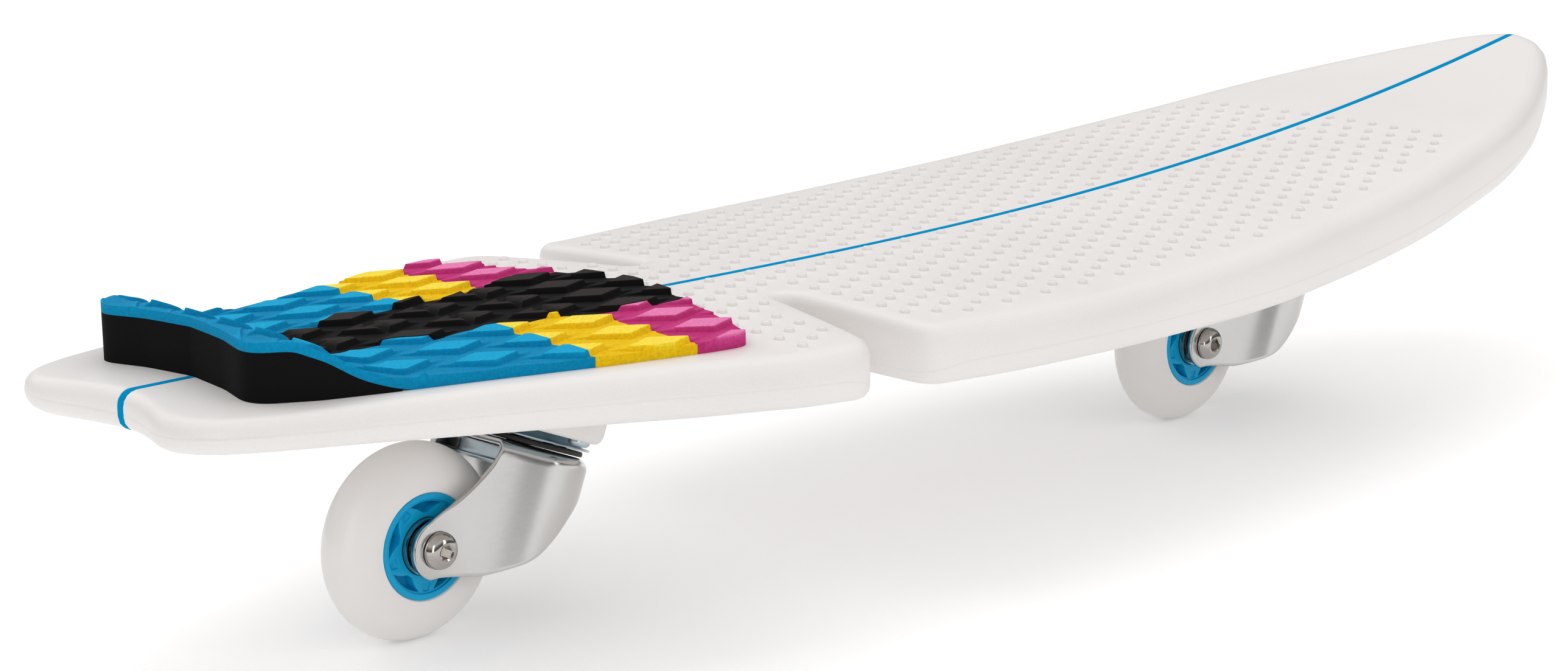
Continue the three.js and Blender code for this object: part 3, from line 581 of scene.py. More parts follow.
def left_of(points, closed=True):
    """The direction in plan to the left of a path at each point."""
    out, last = [], len(points) - 1
    for i in range(last + 1):
        before, after = (i - 1, i - last) if closed else (max(i - 1, 0), min(i + 1, last))
        (x0, y0), (x1, y1) = points[before][:2], points[after][:2]
        long = dist((x0, y0), (x1, y1))
        out.append(((y0 - y1) / long, (x1 - x0) / long))
    return out


def bend(points, i, reach=3):
    """Radius of the outline's curve at point i; endless where it is straight or hollow."""
    a, b, c = (points[k % len(points)][:2] for k in (i - reach, i, i + reach))
    turn = (b[0] - a[0]) * (c[1] - b[1]) - (b[1] - a[1]) * (c[0] - b[0])
    return 1e9 if turn > -1e-6 else dist(a, b) * dist(b, c) * dist(a, c) / (2 * -turn)


def eased_radii(points, near=5):
    """Edges no rounder than the deck's thickness or its outline's bends allow, without steps."""
    radii = [min(r, OF_THICKNESS * thickness(min(max(x, TAIL), NOSE)), OF_BEND * bend(points, i))
             for i, (x, y, r) in enumerate(points)]
    around = lambda values, i: [values[(i + k) % len(values)] for k in range(-near, near + 1)]
    lowest = [min(around(radii, i)) for i in range(len(radii))]
    return [sum(around(lowest, i)) / (2 * near + 1) for i in range(len(radii))]


facing, radii = left_of(outline), eased_radii(outline)
print("edge radii from", round(min(radii), 1), "to", round(max(radii), 1), "mm")

# %% [markdown]
# The groove for the stripe is part of the same mesh: narrow pairs of cuts along the middle, and the
# points between them pushed in by half a millimetre, on the top and over the rims at both ends.
# %% Deck mesh
GROOVE_DEPTH, LINE_OUT = 0.55, -0.1


def groove(y):
    """How far a point this far from the middle is pushed in."""
    return GROOVE_DEPTH if abs(y) <= GROOVE_HALF + 0.01 else 0.0


def rim(turn, upper, lift=0.0, out=0.0):
    """One loop of the rim, turn degrees up or down from the side."""
    cosine, sine = cos(radians(turn)), sin(radians(turn))
    loop = []
    for (x, y, _), (nx, ny), radius in zip(outline, facing, radii):
        inward = (1 - cosine) * radius - out + groove(y) * cosine
        px, py = x - nx * inward, y - ny * inward
        top = deck_top(px, py) - radius * (1 - sine) - groove(y) * sine
        low = deck_under(px, py) + radius * (1 - sine) + lift
        loop.append(Vector((px, py, top if upper else low)))
    return loop


parting_line = rim(0, False, 0.75, LINE_OUT)
rims = [rim(turn, True) for turn in (90, 70, 50, 25, 0)]
rims += [rim(0, False, 1.1), parting_line, rim(0, False, 0.4)]
rims += [rim(turn, False) for turn in (0, 25, 50, 70, 90)]


def deck_mesh():
    mesh = bmesh.new()
    parting = mesh.verts.layers.float.new("parting")
    ring = first_ring(mesh, rims[0])
    top = cap(mesh, ring)
    for places in rims[1:]:
        ring = grow(mesh, ring, places)
        for vertex in ring:
            vertex[parting] = float(places is parting_line)
    under, side = cap(mesh, ring), BOARD_WIDTH / 2
    pair = [GROOVE_HALF, GROOVE_LIP]
    across = spread(-side, 0, 9) + spread(0, side, 9) + pair + [-y for y in pair]
    for face, height, rows in ((top, lambda x, y: deck_top(x, y) - groove(y), across),
                               (under, deck_under, spread(-side, side, 24))):
        rim_points = set(face.verts)
        cells = slice_cells(mesh, [face], (1, 0, 0), spread(TAIL, NOSE, 8.5))
        cells = slice_cells(mesh, cells, (0, 1, 0), rows)
        for vertex in {v for f in cells for v in f.verts} - rim_points:
            vertex.co.z = height(vertex.co.x, vertex.co.y)
    return mesh


deck = closed_piece("deck", deck_mesh(), "deck_shell", ("deck_front", "deck_tail"))
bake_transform(deck)

# %% [markdown]
# ## Stripe and studs
# The stripe is a thin blue strip let into the groove. It runs over the tail's edge, along the
# middle and over the tip of the nose. It is a four-cornered ring grown along the deck's own
# surface, so it cannot drift out of the groove.
# %% Stripe
STRIPE_HALF, STRIPE_TOP, STRIPE_LOW = 1.6, 0.0, 0.53


def stripe_path():
    """Places (x, z) on the centreline with the direction that points out of the deck."""
    nose = max(range(len(outline)), key=lambda i: outline[i][0])
    (tail_x, nose_x), (tail_r, nose_r) = (outline[0][0], outline[nose][0]), (radii[0], radii[nose])
    start, finish = tail_x + tail_r, nose_x - nose_r
    path = []

    def round_end(end_x, radius, out, turns, under=False):
        """Over the deck's edge, turn degrees up from the side; out is -1 at the tail."""
        for turn in turns:
            c, s = cos(radians(turn)), sin(radians(turn))
            x = end_x - out * radius * (1 - c)
            z = deck_under(start, 0) + radius + radius * s if under else (
                deck_top(x, 0) - radius * (1 - s))
            path.append((x, z, out * c, s))

    round_end(tail_x, tail_r, -1, (-60, -30, 0), under=True)
    round_end(tail_x, tail_r, -1, (0, 15, 30, 45, 60, 75))
    for x in [start, *spread(start, finish, 8.5), finish]:
        slope = deck_top(x + 0.5, 0) - deck_top(x - 0.5, 0)
        long = hypot(slope, 1)
        path.append((x, deck_top(x, 0), -slope / long, 1 / long))
    round_end(nose_x, nose_r, 1, (70, 50, 25, 0))
    return path


def stripe_rings():
    corners = ((-STRIPE_HALF, STRIPE_LOW), (STRIPE_HALF, STRIPE_LOW),
               (STRIPE_HALF, STRIPE_TOP), (-STRIPE_HALF, STRIPE_TOP))
    return [[Vector((x - nx * sink, y, z - nz * sink)) for y, sink in corners]
            for x, z, nx, nz in stripe_path()]


stripe = closed_piece("stripe", grown(stripe_rings()), "blue_stripe",
                      ("stripe_front", "stripe_tail"))
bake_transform(stripe)

# %% [markdown]
# The studs are low domes moulded with the deck, in staggered rows, kept away from the edge and from
# the pad. Each is the same four small rings, so hundreds of them cost little. They are one piece,
# because they are one moulding.
# %% Studs
STUD_RADIUS, STUD_HEIGHT = 2.2, 1.4
STUD_RINGS = ((1.0, -0.35), (0.97, 0.1), (0.77, 0.85), (0.58, 1.0))
STUD_ROW, STUD_PITCH, STUD_START, STUD_OUT, STUD_REACH = 11.1, 12.3, -183, 1.0, 109
STUD_TO_RAIL, STUD_TO_EDGE, STUD_TO_PAD = 15, 8, 6


def to_edge(x, y):
    return min(hypot(x - a, y - b) for a, b, _ in outline[::3])


def within(x, y):
    """On the deck and not over a slot: a ray crosses the outline an odd number of times."""
    crossed = 0
    for (ax, ay, _), (bx, by, _) in zip(outline, outline[1:] + outline[:1]):
        crossed += (ay > y) != (by > y) and x < ax + (bx - ax) * (y - ay) / (by - ay)
    return crossed % 2


def pad_front(y):
    """Where the pad ends at this distance from the middle."""
    return -172 - 18 * (abs(y) / 60) ** 2.2


def stud_places():
    places = []
    for row in range(41):
        x = STUD_START + row * STUD_ROW
        for column in range(-18, 19):
            y = column * STUD_PITCH / 2 + math.copysign(STUD_OUT, column)
            on_grid = column and (column + row) % 2
            if not on_grid or abs(y) > min(half_width(x) - STUD_TO_RAIL, STUD_REACH):
                continue
            if x >= pad_front(y) + STUD_TO_PAD and to_edge(x, y) >= STUD_TO_EDGE and within(x, y):
                places.append((x, y))
    return places


def stud_mesh(places):
    """One dome is grown, kept as mesh data, and read into the piece once for each place."""
    dome, mesh, here = bpy.data.meshes.new("dome"), bmesh.new(), Vector()
    single = grown([circle(STUD_RADIUS * share, STUD_HEIGHT * level, 10)
                    for share, level in STUD_RINGS])
    single.to_mesh(dome)
    single.free()
    for x, y in places:
        there = Vector((x, y, deck_top(x, y)))
        dome.transform(Matrix.Translation(there - here))
        mesh.from_mesh(dome)
        here = there
    bpy.data.meshes.remove(dome)
    return mesh


dots = stud_places()
studs = closed_piece("studs", stud_mesh(dots), "deck_shell", sharp=60)
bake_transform(studs)
print("studs:", len(dots))

# %% [markdown]
# ## The grip pad
# The pad is foam, moulded under heat with a relief and cut along straight seams into colours. It
# doesn't swell or sag, so it needs no simulation. Its surface is a height over the deck, given by a
# function of the place. Each foam starts as one flat face, is sliced along the very lines of its
# relief so that every crease falls on a row of points, is extruded to get its underside, and is
# then lifted to its height.
# %% Pad sizes and the kick
PAD_START, PAD_LENGTH, PAD_HALF, PAD_FOAM, PAD_CLEAR = -388.0, 216.0, 93.5, 3.6, 0.06
KICK_HEIGHT, KICK_LENGTH, BAND_HALF = 17.6, 55.0, 31.0
KICK_END = PAD_START + KICK_LENGTH
BAND_REAR, BLUE_END, YELLOW_END = KICK_END - 3.2, -264.0, -222.0

kick_share = through([(0, 1), (0.25, 1), (0.36, 0.87), (0.46, 0.72), (0.66, 0.34), (0.86, 0.1),
                      (1, 0)])
band_share = through([(-0.02, 0.7), (0.16, 0.66), (0.24, 0.86), (0.35, 0.8), (0.46, 0.92),
                      (0.6, 0.86), (0.66, 1.05), (0.76, 1.12), (1.1, 1.3)])


def kick(x):
    """Height of the black block under the blue foam."""
    share = (x - PAD_START) / KICK_LENGTH
    return 0.0 if share >= 1 else KICK_HEIGHT * kick_share(max(share, 0))


def band(x):
    """Half width of the black band."""
    return BAND_HALF * band_share((x - KICK_END) / (PAD_LENGTH - KICK_LENGTH))


# %% Parts of an outline
def crossing(path, side_of):
    """The index of the point where side_of has changed sign along a path, and the place itself."""
    for i, (a, b) in enumerate(zip(path, path[1:]), 1):
        one, two = side_of(*a), side_of(*b)
        if (one < 0) != (two < 0):
            return i, between(a, b, one / (one - two))
    raise ValueError("the paths do not cross")


def stretch(path, start=None, finish=None):
    """The part of a path between two places along the board."""
    if finish is not None:
        i, place = crossing(path, lambda x, y: x - finish)
        path = path[:i] + [place]
    if start is not None:
        i, place = crossing(path, lambda x, y: x - start)
        path = [place] + path[i:]
    return path


def band_edge(start, finish, clear=0.0):
    """The band's left edge from one place along the board to another."""
    count = max(2, round(abs(finish - start) / 2.0))
    xs = [start + (finish - start) * k / count for k in range(count + 1)]
    return [(x, band(x) + clear) for x in xs]


def mirrored(points):
    return [(x, -y) for x, y in reversed(points)]


# %% Pad outlines
def pad_half():
    """The left half of the pad's outline, from the middle of its rear edge to its front."""
    shares = [(0.045, 0), (0.03, 0.26), (0.0, 0.5), (0.105, 0.622), (0.216, 0.695), (0.41, 0.8),
              (0.6, 0.905), (0.8, 0.99), (0.877, 1.005), (0.9, 0.9), (0.928, 0.7), (0.957, 0.48),
              (0.985, 0.26), (1, 0)]
    path = [(PAD_START + x * PAD_LENGTH, y * PAD_HALF, 0) for x, y in shares]
    path = soften(soften(path, 8, 5), 2, 9)
    return [(x, y) for x, y, _ in relaxed(evenly(path, 1.2), 8)]


PAD_LEFT = pad_half()


def blue_outline():
    half = stretch(PAD_LEFT, None, BLUE_END - PAD_CLEAR)
    half += band_edge(BLUE_END - PAD_CLEAR, BAND_REAR, PAD_CLEAR)
    return half + mirrored(half)[:-1]


def yellow_outline():
    low, high = BLUE_END + PAD_CLEAR, YELLOW_END - PAD_CLEAR
    return stretch(PAD_LEFT, low, high) + band_edge(high, low, PAD_CLEAR)


def magenta_outline():
    low = YELLOW_END + PAD_CLEAR
    edge = stretch(PAD_LEFT, low)
    i, corner = crossing(edge, lambda x, y: y - band(x) - PAD_CLEAR)
    return edge[:i] + [corner] + band_edge(corner[0] - 0.5, low, PAD_CLEAR)


def black_outline():
    i, corner = crossing(PAD_LEFT, lambda x, y: band(x) - y if x > YELLOW_END else -1)
    half = band_edge(BAND_REAR + PAD_CLEAR, corner[0] - 0.5) + [corner] + PAD_LEFT[i:]
    return half + mirrored(half)[1:]


def kick_outline():
    """The whole pad's outline up to the place where the block runs out to nothing."""
    half = stretch(PAD_LEFT, None, KICK_END - 4)
    return half + mirrored(half)[:-1]


print("pad outline:", len(PAD_LEFT), "points on the left")

# %% [markdown]
# The relief is a field of long scales, 63 by 21 mm, each like a shingle: a nearly flat top with a
# steep cut on two sides and an easy slope on the other two. The directions of the two cuts are also
# the slicing directions. On the black band the same scales stand taller and the middle ones are
# split across. On the kick the rows are bent, so that the scales become claws; the flat face is
# bent the other way before it is sliced and back afterwards, and the straight slices follow.
# %% Scale relief
SCALE_X, SCALE_Y, FIRST_X = 31.5, 10.5, -329.0
SCALE_HEIGHT, BLACK_HEIGHT, SWEEP_START, SWEEP = 2.3, 2.7, -345, 0.0159


def nearest_scales(x, y):
    """Places, seen from each scale near (x, y)."""
    column = round((x - FIRST_X) / SCALE_X)
    for c in (column - 1, column, column + 1):
        shift = 0.5 * ((c + 1) % 2)
        row = round(y / (2 * SCALE_Y) - shift)
        for r in (row - 1, row, row + 1):
            yield c, x - FIRST_X - c * SCALE_X, y - (r + shift) * 2 * SCALE_Y


def shingle(u, v):
    """Height of one scale over the valley, 0 to about 1.1, at (u, v) from its middle."""
    one, two = 2 / 3 * u + v, v - u / 3
    far = max(1.05 - (one - 5.6) * 0.75, 0.42 - (one - 6.4) * 0.042)
    left = max(1.0 - (two - 5.5) * 0.7, 0.42 - (two - 6.3) * 0.056)
    return max(0.0, min(0.93 + 0.013 * u, (one + 8.4) / 0.75, (two + 7.6) / 0.9, far, left))


def block(u, v):
    """One black scale split across, with steep sides all round."""
    one, two = 2 / 3 * u + v, v - u / 3
    sides = min((one + 8.6) / 1.1, (two + 7.8) / 1.2, (7.4 - one) / 1.6, (7.6 - two) / 1.6)
    split = max(0.12, (abs(u + 0.6) - 1.0) / 1.4)
    return max(0.0, min(0.95 + 0.016 * u, sides, split))


def pad_relief(x, y):
    """Height of the coloured foams over their plain thickness; the kick's scales are taller."""
    highest = max(shingle(u, v) for _, u, v in nearest_scales(x, y))
    return highest * SCALE_HEIGHT * (1 + 0.35 * ease(SWEEP_START, -360, x))


def black_relief(x, y):
    highest = 0.0
    for column, u, v in nearest_scales(x, y):
        middle = abs(y - v)
        whole = column >= 4 or column == 1 and middle > 15 or middle > 26
        highest = max(highest, shingle(u, v) if whole else block(u, v))
    return highest * BLACK_HEIGHT * ease(BAND_REAR - 6, BAND_REAR + 8, x)


def kick_bend(x):
    """On the kick the rows of scales sweep sideways, ever more towards the rear edge."""
    return SWEEP * min(x - SWEEP_START, 0.0) ** 2


KICK_RIM, RIM_LEVEL = [(x, y) for x, y in blue_outline() if x < -340], 0.9


def kick_relief(x, bent):
    """Near the kick's outline the scales even out, so that it doesn't cut slivers off them."""
    if x > -344:
        return pad_relief(x, bent)
    inward = min(hypot(x - a, bent - kick_bend(x) - b) for a, b in KICK_RIM)
    share = max(ease(-352, -344, x), 0.15 + 0.85 * ease(1, 7, inward))
    return RIM_LEVEL + (pad_relief(x, bent) - RIM_LEVEL) * share


# %% [markdown]
# The slicing places repeat with the scales: close together where a cut stands steep, wider on the
# slopes. On the kick the slices run straight across as well, so that its bend is smooth.
# %% Slicing places
SCALE_LINES = (
    (2 / 3, 1.0, 10.5, (-8.5, -8.02, -7.55, -6.6, -5.4, -4.2, 5.6, 6.4)),
    (-1 / 3, 1.0, 21.0, (-7.7, -7.2, -6.65, -5.2, -3.7, -2.1, -0.4, 1.3, 3.0, 4.6, 5.6, 6.5, 8.2,
                         9.8, 11.3, 12.4)))


def repeated(marks, period, low, high):
    first = math.floor(low / period) - 1
    count = math.ceil((high - low) / period) + 3
    places = {round(m % period + (first + k) * period, 4) for m in marks for k in range(count)}
    return sorted(place for place in places if low < place < high)


def scale_cuts(points):
    """Places to slice along the two directions of the scales, for one outline."""
    cuts = []
    for a, b, period, marks in SCALE_LINES:
        reach = [a * x + b * y for x, y in points]
        start = a * FIRST_X + b * SCALE_Y
        marks = [start + m for m in marks]
        cuts.append(((a, b, 0), repeated(marks, period, min(reach), max(reach))))
    return cuts


def kick_cuts(points):
    bent = [(x, y + kick_bend(x)) for x, y in points]
    return scale_cuts(bent) + [((1, 0, 0), spread(PAD_START, KICK_END + 4, 2.6))]


def plain_cuts(points):
    return [(direction, spread(min(places), max(places), step)) for direction, places, step in
            zip(((1, 0, 0), (0, 1, 0)), zip(*points), (3.0, 12.0))]


# %% Foam bodies
SIT = 0.04
flat = lambda *place: 0.0
cover_low = lambda x: SIT + kick(x)
cover_high = lambda x: PAD_FOAM - 0.9 * ease(-335, -352, x) + kick(x)


def foam_mesh(points, cuts, relief=flat, tallest=1.0, low=cover_low, high=cover_high, shift=flat):
    """A body between two heights over the deck, with its relief kept on the points."""
    mesh = bmesh.new()
    height, steep = (mesh.verts.layers.float.new(name) for name in ("height", "steep"))
    ring = first_ring(mesh, [Vector((x, y + shift(x), 0)) for x, y in points])
    cells = [cap(mesh, ring)]
    for direction, places in cuts(points):
        cells = slice_cells(mesh, cells, direction, places)
    top = made_points(bmesh.ops.extrude_face_region(mesh, geom=mesh.faces[:]))
    for vertex in mesh.verts:
        x, bent = vertex.co.x, vertex.co.y
        y = vertex.co.y = bent - shift(x)
        raised = relief(x, bent) if vertex in top else 0.0
        vertex.co.z = deck_top(x, y) + ((high(x) + raised) if vertex in top else low(x))
        # These heights and slopes set the foams' painted light on the tops and painted shade in
        # valleys and on the sides; underside and cut sides get fixed values.
        vertex[height] = min(raised / tallest, 1.0) if vertex in top else 0.3
    face_out(mesh)
    mesh.normal_update()
    for vertex in mesh.verts:
        slope = 1 - max(f.normal.z for f in vertex.link_faces) if vertex in top else 0.55
        vertex[steep] = min(max(slope, 0.0) * 1.6, 1.0)
    return mesh


def foam_piece(part, slot, node, mesh):
    piece = closed_piece(f"pad_{part}", mesh, slot, [node], "tail_deck", sharp=38)


blue = foam_mesh(blue_outline(), kick_cuts, kick_relief, SCALE_HEIGHT, shift=kick_bend)
foam_piece("blue_foam", "blue_foam", "pad_blue", blue)
black = foam_mesh(black_outline(), scale_cuts, black_relief, BLACK_HEIGHT)
foam_piece("black_foam", "black_foam", "pad_black", black)

# %% [markdown]
# The relief is not mirrored on the real pad, so of the four side fields only the outline is. Under
# the blue cover at the tail lies the black block of the kick. Its rear face is cut upright. It has
# no relief, only the long S of the kick.
# %% Side fields and kick block
for hand, turned_over in (("left", list), ("right", mirrored)):
    for colour, field in (("yellow", yellow_outline()), ("magenta", magenta_outline())):
        body = foam_mesh(turned_over(field), scale_cuts, pad_relief, SCALE_HEIGHT)
        foam_piece(f"{colour}_foam_{hand}", f"{colour}_foam", f"pad_{colour}_{hand}", body)

core = foam_mesh(kick_outline(), plain_cuts, low=lambda x: SIT, high=lambda x: kick(x) - 0.02)
foam_piece("kick_foam", "black_foam", "pad_kick_block", core)

# %% [markdown]
# ## The swivel
# Each caster turns about an axis that leans 22 degrees towards the nose. Its parts are drawn about
# that axis, in a frame of their own: u forward, v to the left, w along the axis, with w = 0 on top
# of the dust seal. One matrix carries a finished part to its place under the deck, so the same part
# serves both casters.
# %% Swivel places
TILT, REACH, DROP, WHEEL_RADIUS = radians(22), 40.4, 48.2, 38.0
AXLES = {"rear": -287.0, "front": 158.3}
DECK_OF = {"rear": "tail_deck", "front": "front_deck"}


def swivel_frame(end):
    """From the swivel's own frame to the board's, in millimetres."""
    u, w = Vector((cos(TILT), 0, -sin(TILT))), Vector((sin(TILT), 0, cos(TILT)))
    origin = Vector((AXLES[end], 0, WHEEL_RADIUS)) + u * REACH + w * DROP
    turn = Matrix((u, Vector((0, 1, 0)), w)).transposed()
    return Matrix.Translation(origin) @ turn.to_4x4()


def axle_frame(end, side=1):
    """A part is drawn about Z and laid along the axle; side 1 turns its Z to the rider's left."""
    place = Matrix.Translation((AXLES[end], 0, WHEEL_RADIUS))
    return place @ Matrix.Rotation(-side * pi / 2, 4, "X")


def fitted(end, part, mesh, at, slot, node, body, sharp=35.0):
    """A piece of one caster, on its fork, its wheel or the deck above it."""
    body = {"deck": DECK_OF[end], "fork": f"{end}_swivel_fork", "wheel": f"{end}_wheel"}[body]
    closed_piece(f"{end}_{part}", mesh, slot, [f"{end}_{node}"] if node else (), body, sharp, at)


# %% [markdown]
# Most parts are turned or pressed round, so they are a profile of (radius, height) points, carried
# round the axis. Real edges are broken, so every corner of a profile is first cut by a small
# chamfer with a soft middle. Screws and nuts are stacks of rings, some of them six-sided or
# crossed.
# %% Turned parts
def eased_profile(points, radius, closed):
    """Every corner of a profile becomes a three-point round."""
    out, count = [], len(points)
    for i, point in enumerate(points):
        here = Vector(point)
        if not closed and i in (0, count - 1):
            out.append(here)
            continue
        before, after = Vector(points[i - 1]) - here, Vector(points[(i + 1) % count]) - here
        cut = min(radius, before.length * 0.4, after.length * 0.4)
        first, last = here + before.normalized() * cut, here + after.normalized() * cut
        out += [first, (first + last) / 4 + here / 2, last]
    return out


def turned(points, radius=0.3, count=64, mesh=None, closed=True):
    """A hoop from a closed profile, or a solid from one that starts and ends on the axis."""
    profile = [(max(p.x, 0.02), p.y) for p in eased_profile(points, radius, closed)]
    return grown([circle(r, h, count) for r, h in profile], mesh, joined=closed)


def star(count, height, reach, turn=0.0):
    """A ring whose reach depends on the direction."""
    angles = [tau * (k + turn) / count for k in range(count)]
    return [Vector((reach(a) * cos(a), reach(a) * sin(a), height)) for a in angles]


def hexagon(radius, height, count):
    """A six-sided ring; the radius is that of its inner circle."""
    return star(count, height, lambda a: radius / cos(a % (pi / 3) - pi / 6))


def cross(radius, height, count, arm=0.3):
    """A four-armed cross, for a screwdriver."""
    thin = lambda a: max(min(abs(cos(a)), abs(sin(a))), 1e-6)
    return star(count, height, lambda a: min(radius, radius * arm / thin(a)), 0.5)


def stack(count, base, rows):
    """Rings of (radius, height) or (radius, height, kind of ring), over a base height."""
    return [(*row, circle)[2](row[0], base + row[1], count) for row in rows]


THREAD = 1.1


def pan_screw(head, height, shank, length, count=32):
    """Head at negative heights with a cross recess, shank above zero."""
    profile = [(head * r, -height * h) for r, h in
               ((0.62, 1.0), (0.82, 0.86), (0.95, 0.6), (1.0, 0.3), (1.0, 0.06), (0.97, 0.0))]
    turns = round(length / THREAD)
    profile.append((shank, 0))
    for k in range(turns):
        profile += [(shank * 0.84, length * (k + 0.5) / turns), (shank, length * (k + 1) / turns)]
    profile.append((shank * 0.3, length + 1.2))
    recess = [cross(head * 0.3, -height * 0.35, count), cross(head * 0.46, -height * 0.98, count)]
    return grown(recess + [circle(r, h, count, pi / count) for r, h in profile])


# %% [markdown]
# The boss is the block under the deck that turns its flat underside into the tilted face for the
# swivel. It is moulded with the deck, so it gets the deck's finish and flares into the underside.
# The ring at its foot is an eared outline; every ring above it keeps that outline, and the last one
# follows the deck's underside.
# %% Boss
FLANGE_UNDER, FLANGE_TOP, BOSS_RADIUS, BOSS_EAR, SCREW_CIRCLE = 4.4, 6.4, 29.5, 8.5, 33.0
SCREW_PLACES = [(SCREW_CIRCLE * cos(radians(a)), SCREW_CIRCLE * sin(radians(a)))
                for a in (90, 142, -142, -90)]
EARED_POINTS = 120


def eared(radius, ear, height):
    """The tight outline round a disc and four ears, as reach in each direction."""
    discs = [((0.0, 0.0), radius)] + [(place, ear) for place in SCREW_PLACES]
    points = [(c[0] + r * cos(tau * k / 90), c[1] + r * sin(tau * k / 90))
              for c, r in discs for k in range(90)]
    hull = [points[i] for i in convex_hull_2d(points)]
    return [Vector((*hit(hull, tau * k / EARED_POINTS), height)) for k in range(EARED_POINTS)]


def hit(hull, angle):
    """Where a ray from the middle meets the outline."""
    c, s = cos(angle), sin(angle)
    for a, b in zip(hull, hull[1:] + hull[:1]):
        before, after = c * a[1] - s * a[0], c * b[1] - s * b[0]
        if before <= 0 < after:
            x, y = between(a, b, -before / (after - before))
            if x * c + y * s > 0:
                return x, y
    raise ValueError("the outline does not go round the middle")


def boss_mesh(to_board):
    """Drawn in the swivel's frame; to_board finds how far each point is from the deck."""
    foot = lambda inset, height: eared(BOSS_RADIUS - inset, BOSS_EAR - inset, FLANGE_UNDER + height)
    rings = [circle(9.6, 11.6, EARED_POINTS), circle(9.6, FLANGE_TOP + 0.1, EARED_POINTS),
             eared(21.9, 6.9, FLANGE_TOP + 0.1), eared(21.9, 6.9, FLANGE_UNDER)]
    rings += [foot(3.2, -0.4), foot(1.6, 0.1), foot(0.5, 1.3), foot(0, 3.4)]
    for share, flare in ((0.35, 0.0), (0.7, 0.2), (0.86, 1.4), (0.95, 3.6), (1.0, 7.0)):
        ring = []
        for p in foot(-flare, 3.4):
            low = to_board @ p
            rise = max(deck_under(low.x, low.y) + 0.25 - low.z, 0.3) / cos(TILT)
            ring.append(p + Vector((0, 0, rise * share)))
        rings.append(ring)
    return grown(rings + [[p + Vector((0, 0, 2.5)) for p in rings[-1]]])


for end in AXLES:
    here = swivel_frame(end)
    fitted(end, "boss", boss_mesh(here), here, "deck_shell", None, "deck", sharp=50)

# %% [markdown]
# Between boss and fork sits the pressed base plate: an eared flange with a shallow dish below it,
# whose rolled lip catches the light. Four pan-head screws hold it. A black seal ring keeps dust out
# of the upper balls.
# %% Base plate, screws and seal
def plate_mesh():
    flange = [circle(5.4, FLANGE_TOP, EARED_POINTS), circle(5.4, FLANGE_UNDER, EARED_POINTS),
              eared(21.1, 6.1, FLANGE_UNDER), eared(21.5, 6.5, FLANGE_UNDER + 0.4),
              eared(21.5, 6.5, FLANGE_TOP - 0.4), eared(21.1, 6.1, FLANGE_TOP)]
    dish = [(20.5, 5.2), (20.9, 3.4), (22.2, 1.6), (23.6, 0.5), (24.6, 0.3), (26.8, 0.3),
            (27.3, 0.8), (26.8, 1.3), (25.0, 1.3), (24.1, 1.6), (23.0, 2.7), (21.9, 4.2),
            (21.6, 5.4)]
    return turned(dish, 0.25, 96, grown(flange, joined=True))


def seal_mesh():
    return turned([(20.7, -2.1), (24.6, -2.1), (24.9, -1.2), (24.5, -0.1), (20.7, -0.1)], 0.35, 96)


for end in AXLES:
    here = swivel_frame(end)
    fitted(end, "plate", plate_mesh(), here, ZINC, "base_plate", "deck")
    for i, (x, y) in enumerate(SCREW_PLACES, 1):
        there = here @ Matrix.Translation((x, y, FLANGE_UNDER - 0.1))
        screw = pan_screw(4.2, 2.4, 2.0, 11.0)
        fitted(end, f"screw_{i}", screw, there, ZINC, f"plate_screw_{i}", "deck")
    fitted(end, "seal", seal_mesh(), here, "black_rubber", "dust_seal", "fork")

# %% [markdown]
# The kingpin holds everything together: its head lies in the boss, its nut under the lower cup. The
# cup is pressed sheet with a flat lip, and its little lock screw shows behind the fork.
# %% Kingpin, cup and lock screw
CUP_TOP, CUP_FLOOR, CUP_UNDER, PIN_NUT = -5.4, -10.9, -12.3, -17.6
LOCK_TURN = (Matrix.Rotation(radians(242), 4, "Z")
             @ Matrix.Translation((22.3, 0, (CUP_TOP + CUP_FLOOR) / 2))
             @ Matrix.Rotation(-pi / 2, 4, "Y"))


def kingpin_mesh():
    profile = [(0, -19.1), (4.6, -19.1), (5, -18.6), (5, 6.7), (9, 6.7), (9, 9.4), (7.6, 10.5),
               (0, 10.7)]
    return turned(profile, 0.3, 40, closed=False)


def pin_nut():
    rows = ((5.6, 0), (7.5, 0), (7.5, 0.65, hexagon), (7.5, 4.35, hexagon), (7.5, 5), (5.6, 5),
            (5.1, 4.5), (5.1, 0.5))
    return grown(stack(48, PIN_NUT, rows), joined=True)


def cup_mesh():
    profile = [(5.3, CUP_UNDER), (21.4, CUP_UNDER), (23.2, CUP_UNDER + 0.1),
               (23.2, CUP_UNDER + 1.3), (22.2, CUP_UNDER + 1.7), (22.0, CUP_UNDER + 2.8),
               (22.0, CUP_TOP), (20.6, CUP_TOP), (20.6, CUP_FLOOR + 1.0), (19.4, CUP_FLOOR),
               (5.3, CUP_FLOOR)]
    return turned(profile, 0.5, 96)


for end in AXLES:
    here = swivel_frame(end)
    fitted(end, "pin", kingpin_mesh(), here, STEEL, "kingpin", "deck")
    fitted(end, "pin_nut", pin_nut(), here, ZINC, "kingpin_nut", "deck", sharp=24)
    fitted(end, "cup", cup_mesh(), here, ZINC, "lower_cup", "deck")
    lock = pan_screw(2.4, 1.2, 1.4, 3.0, 24)
    fitted(end, "lock_screw", lock, here @ LOCK_TURN, ZINC, "cup_lock_screw", "deck")

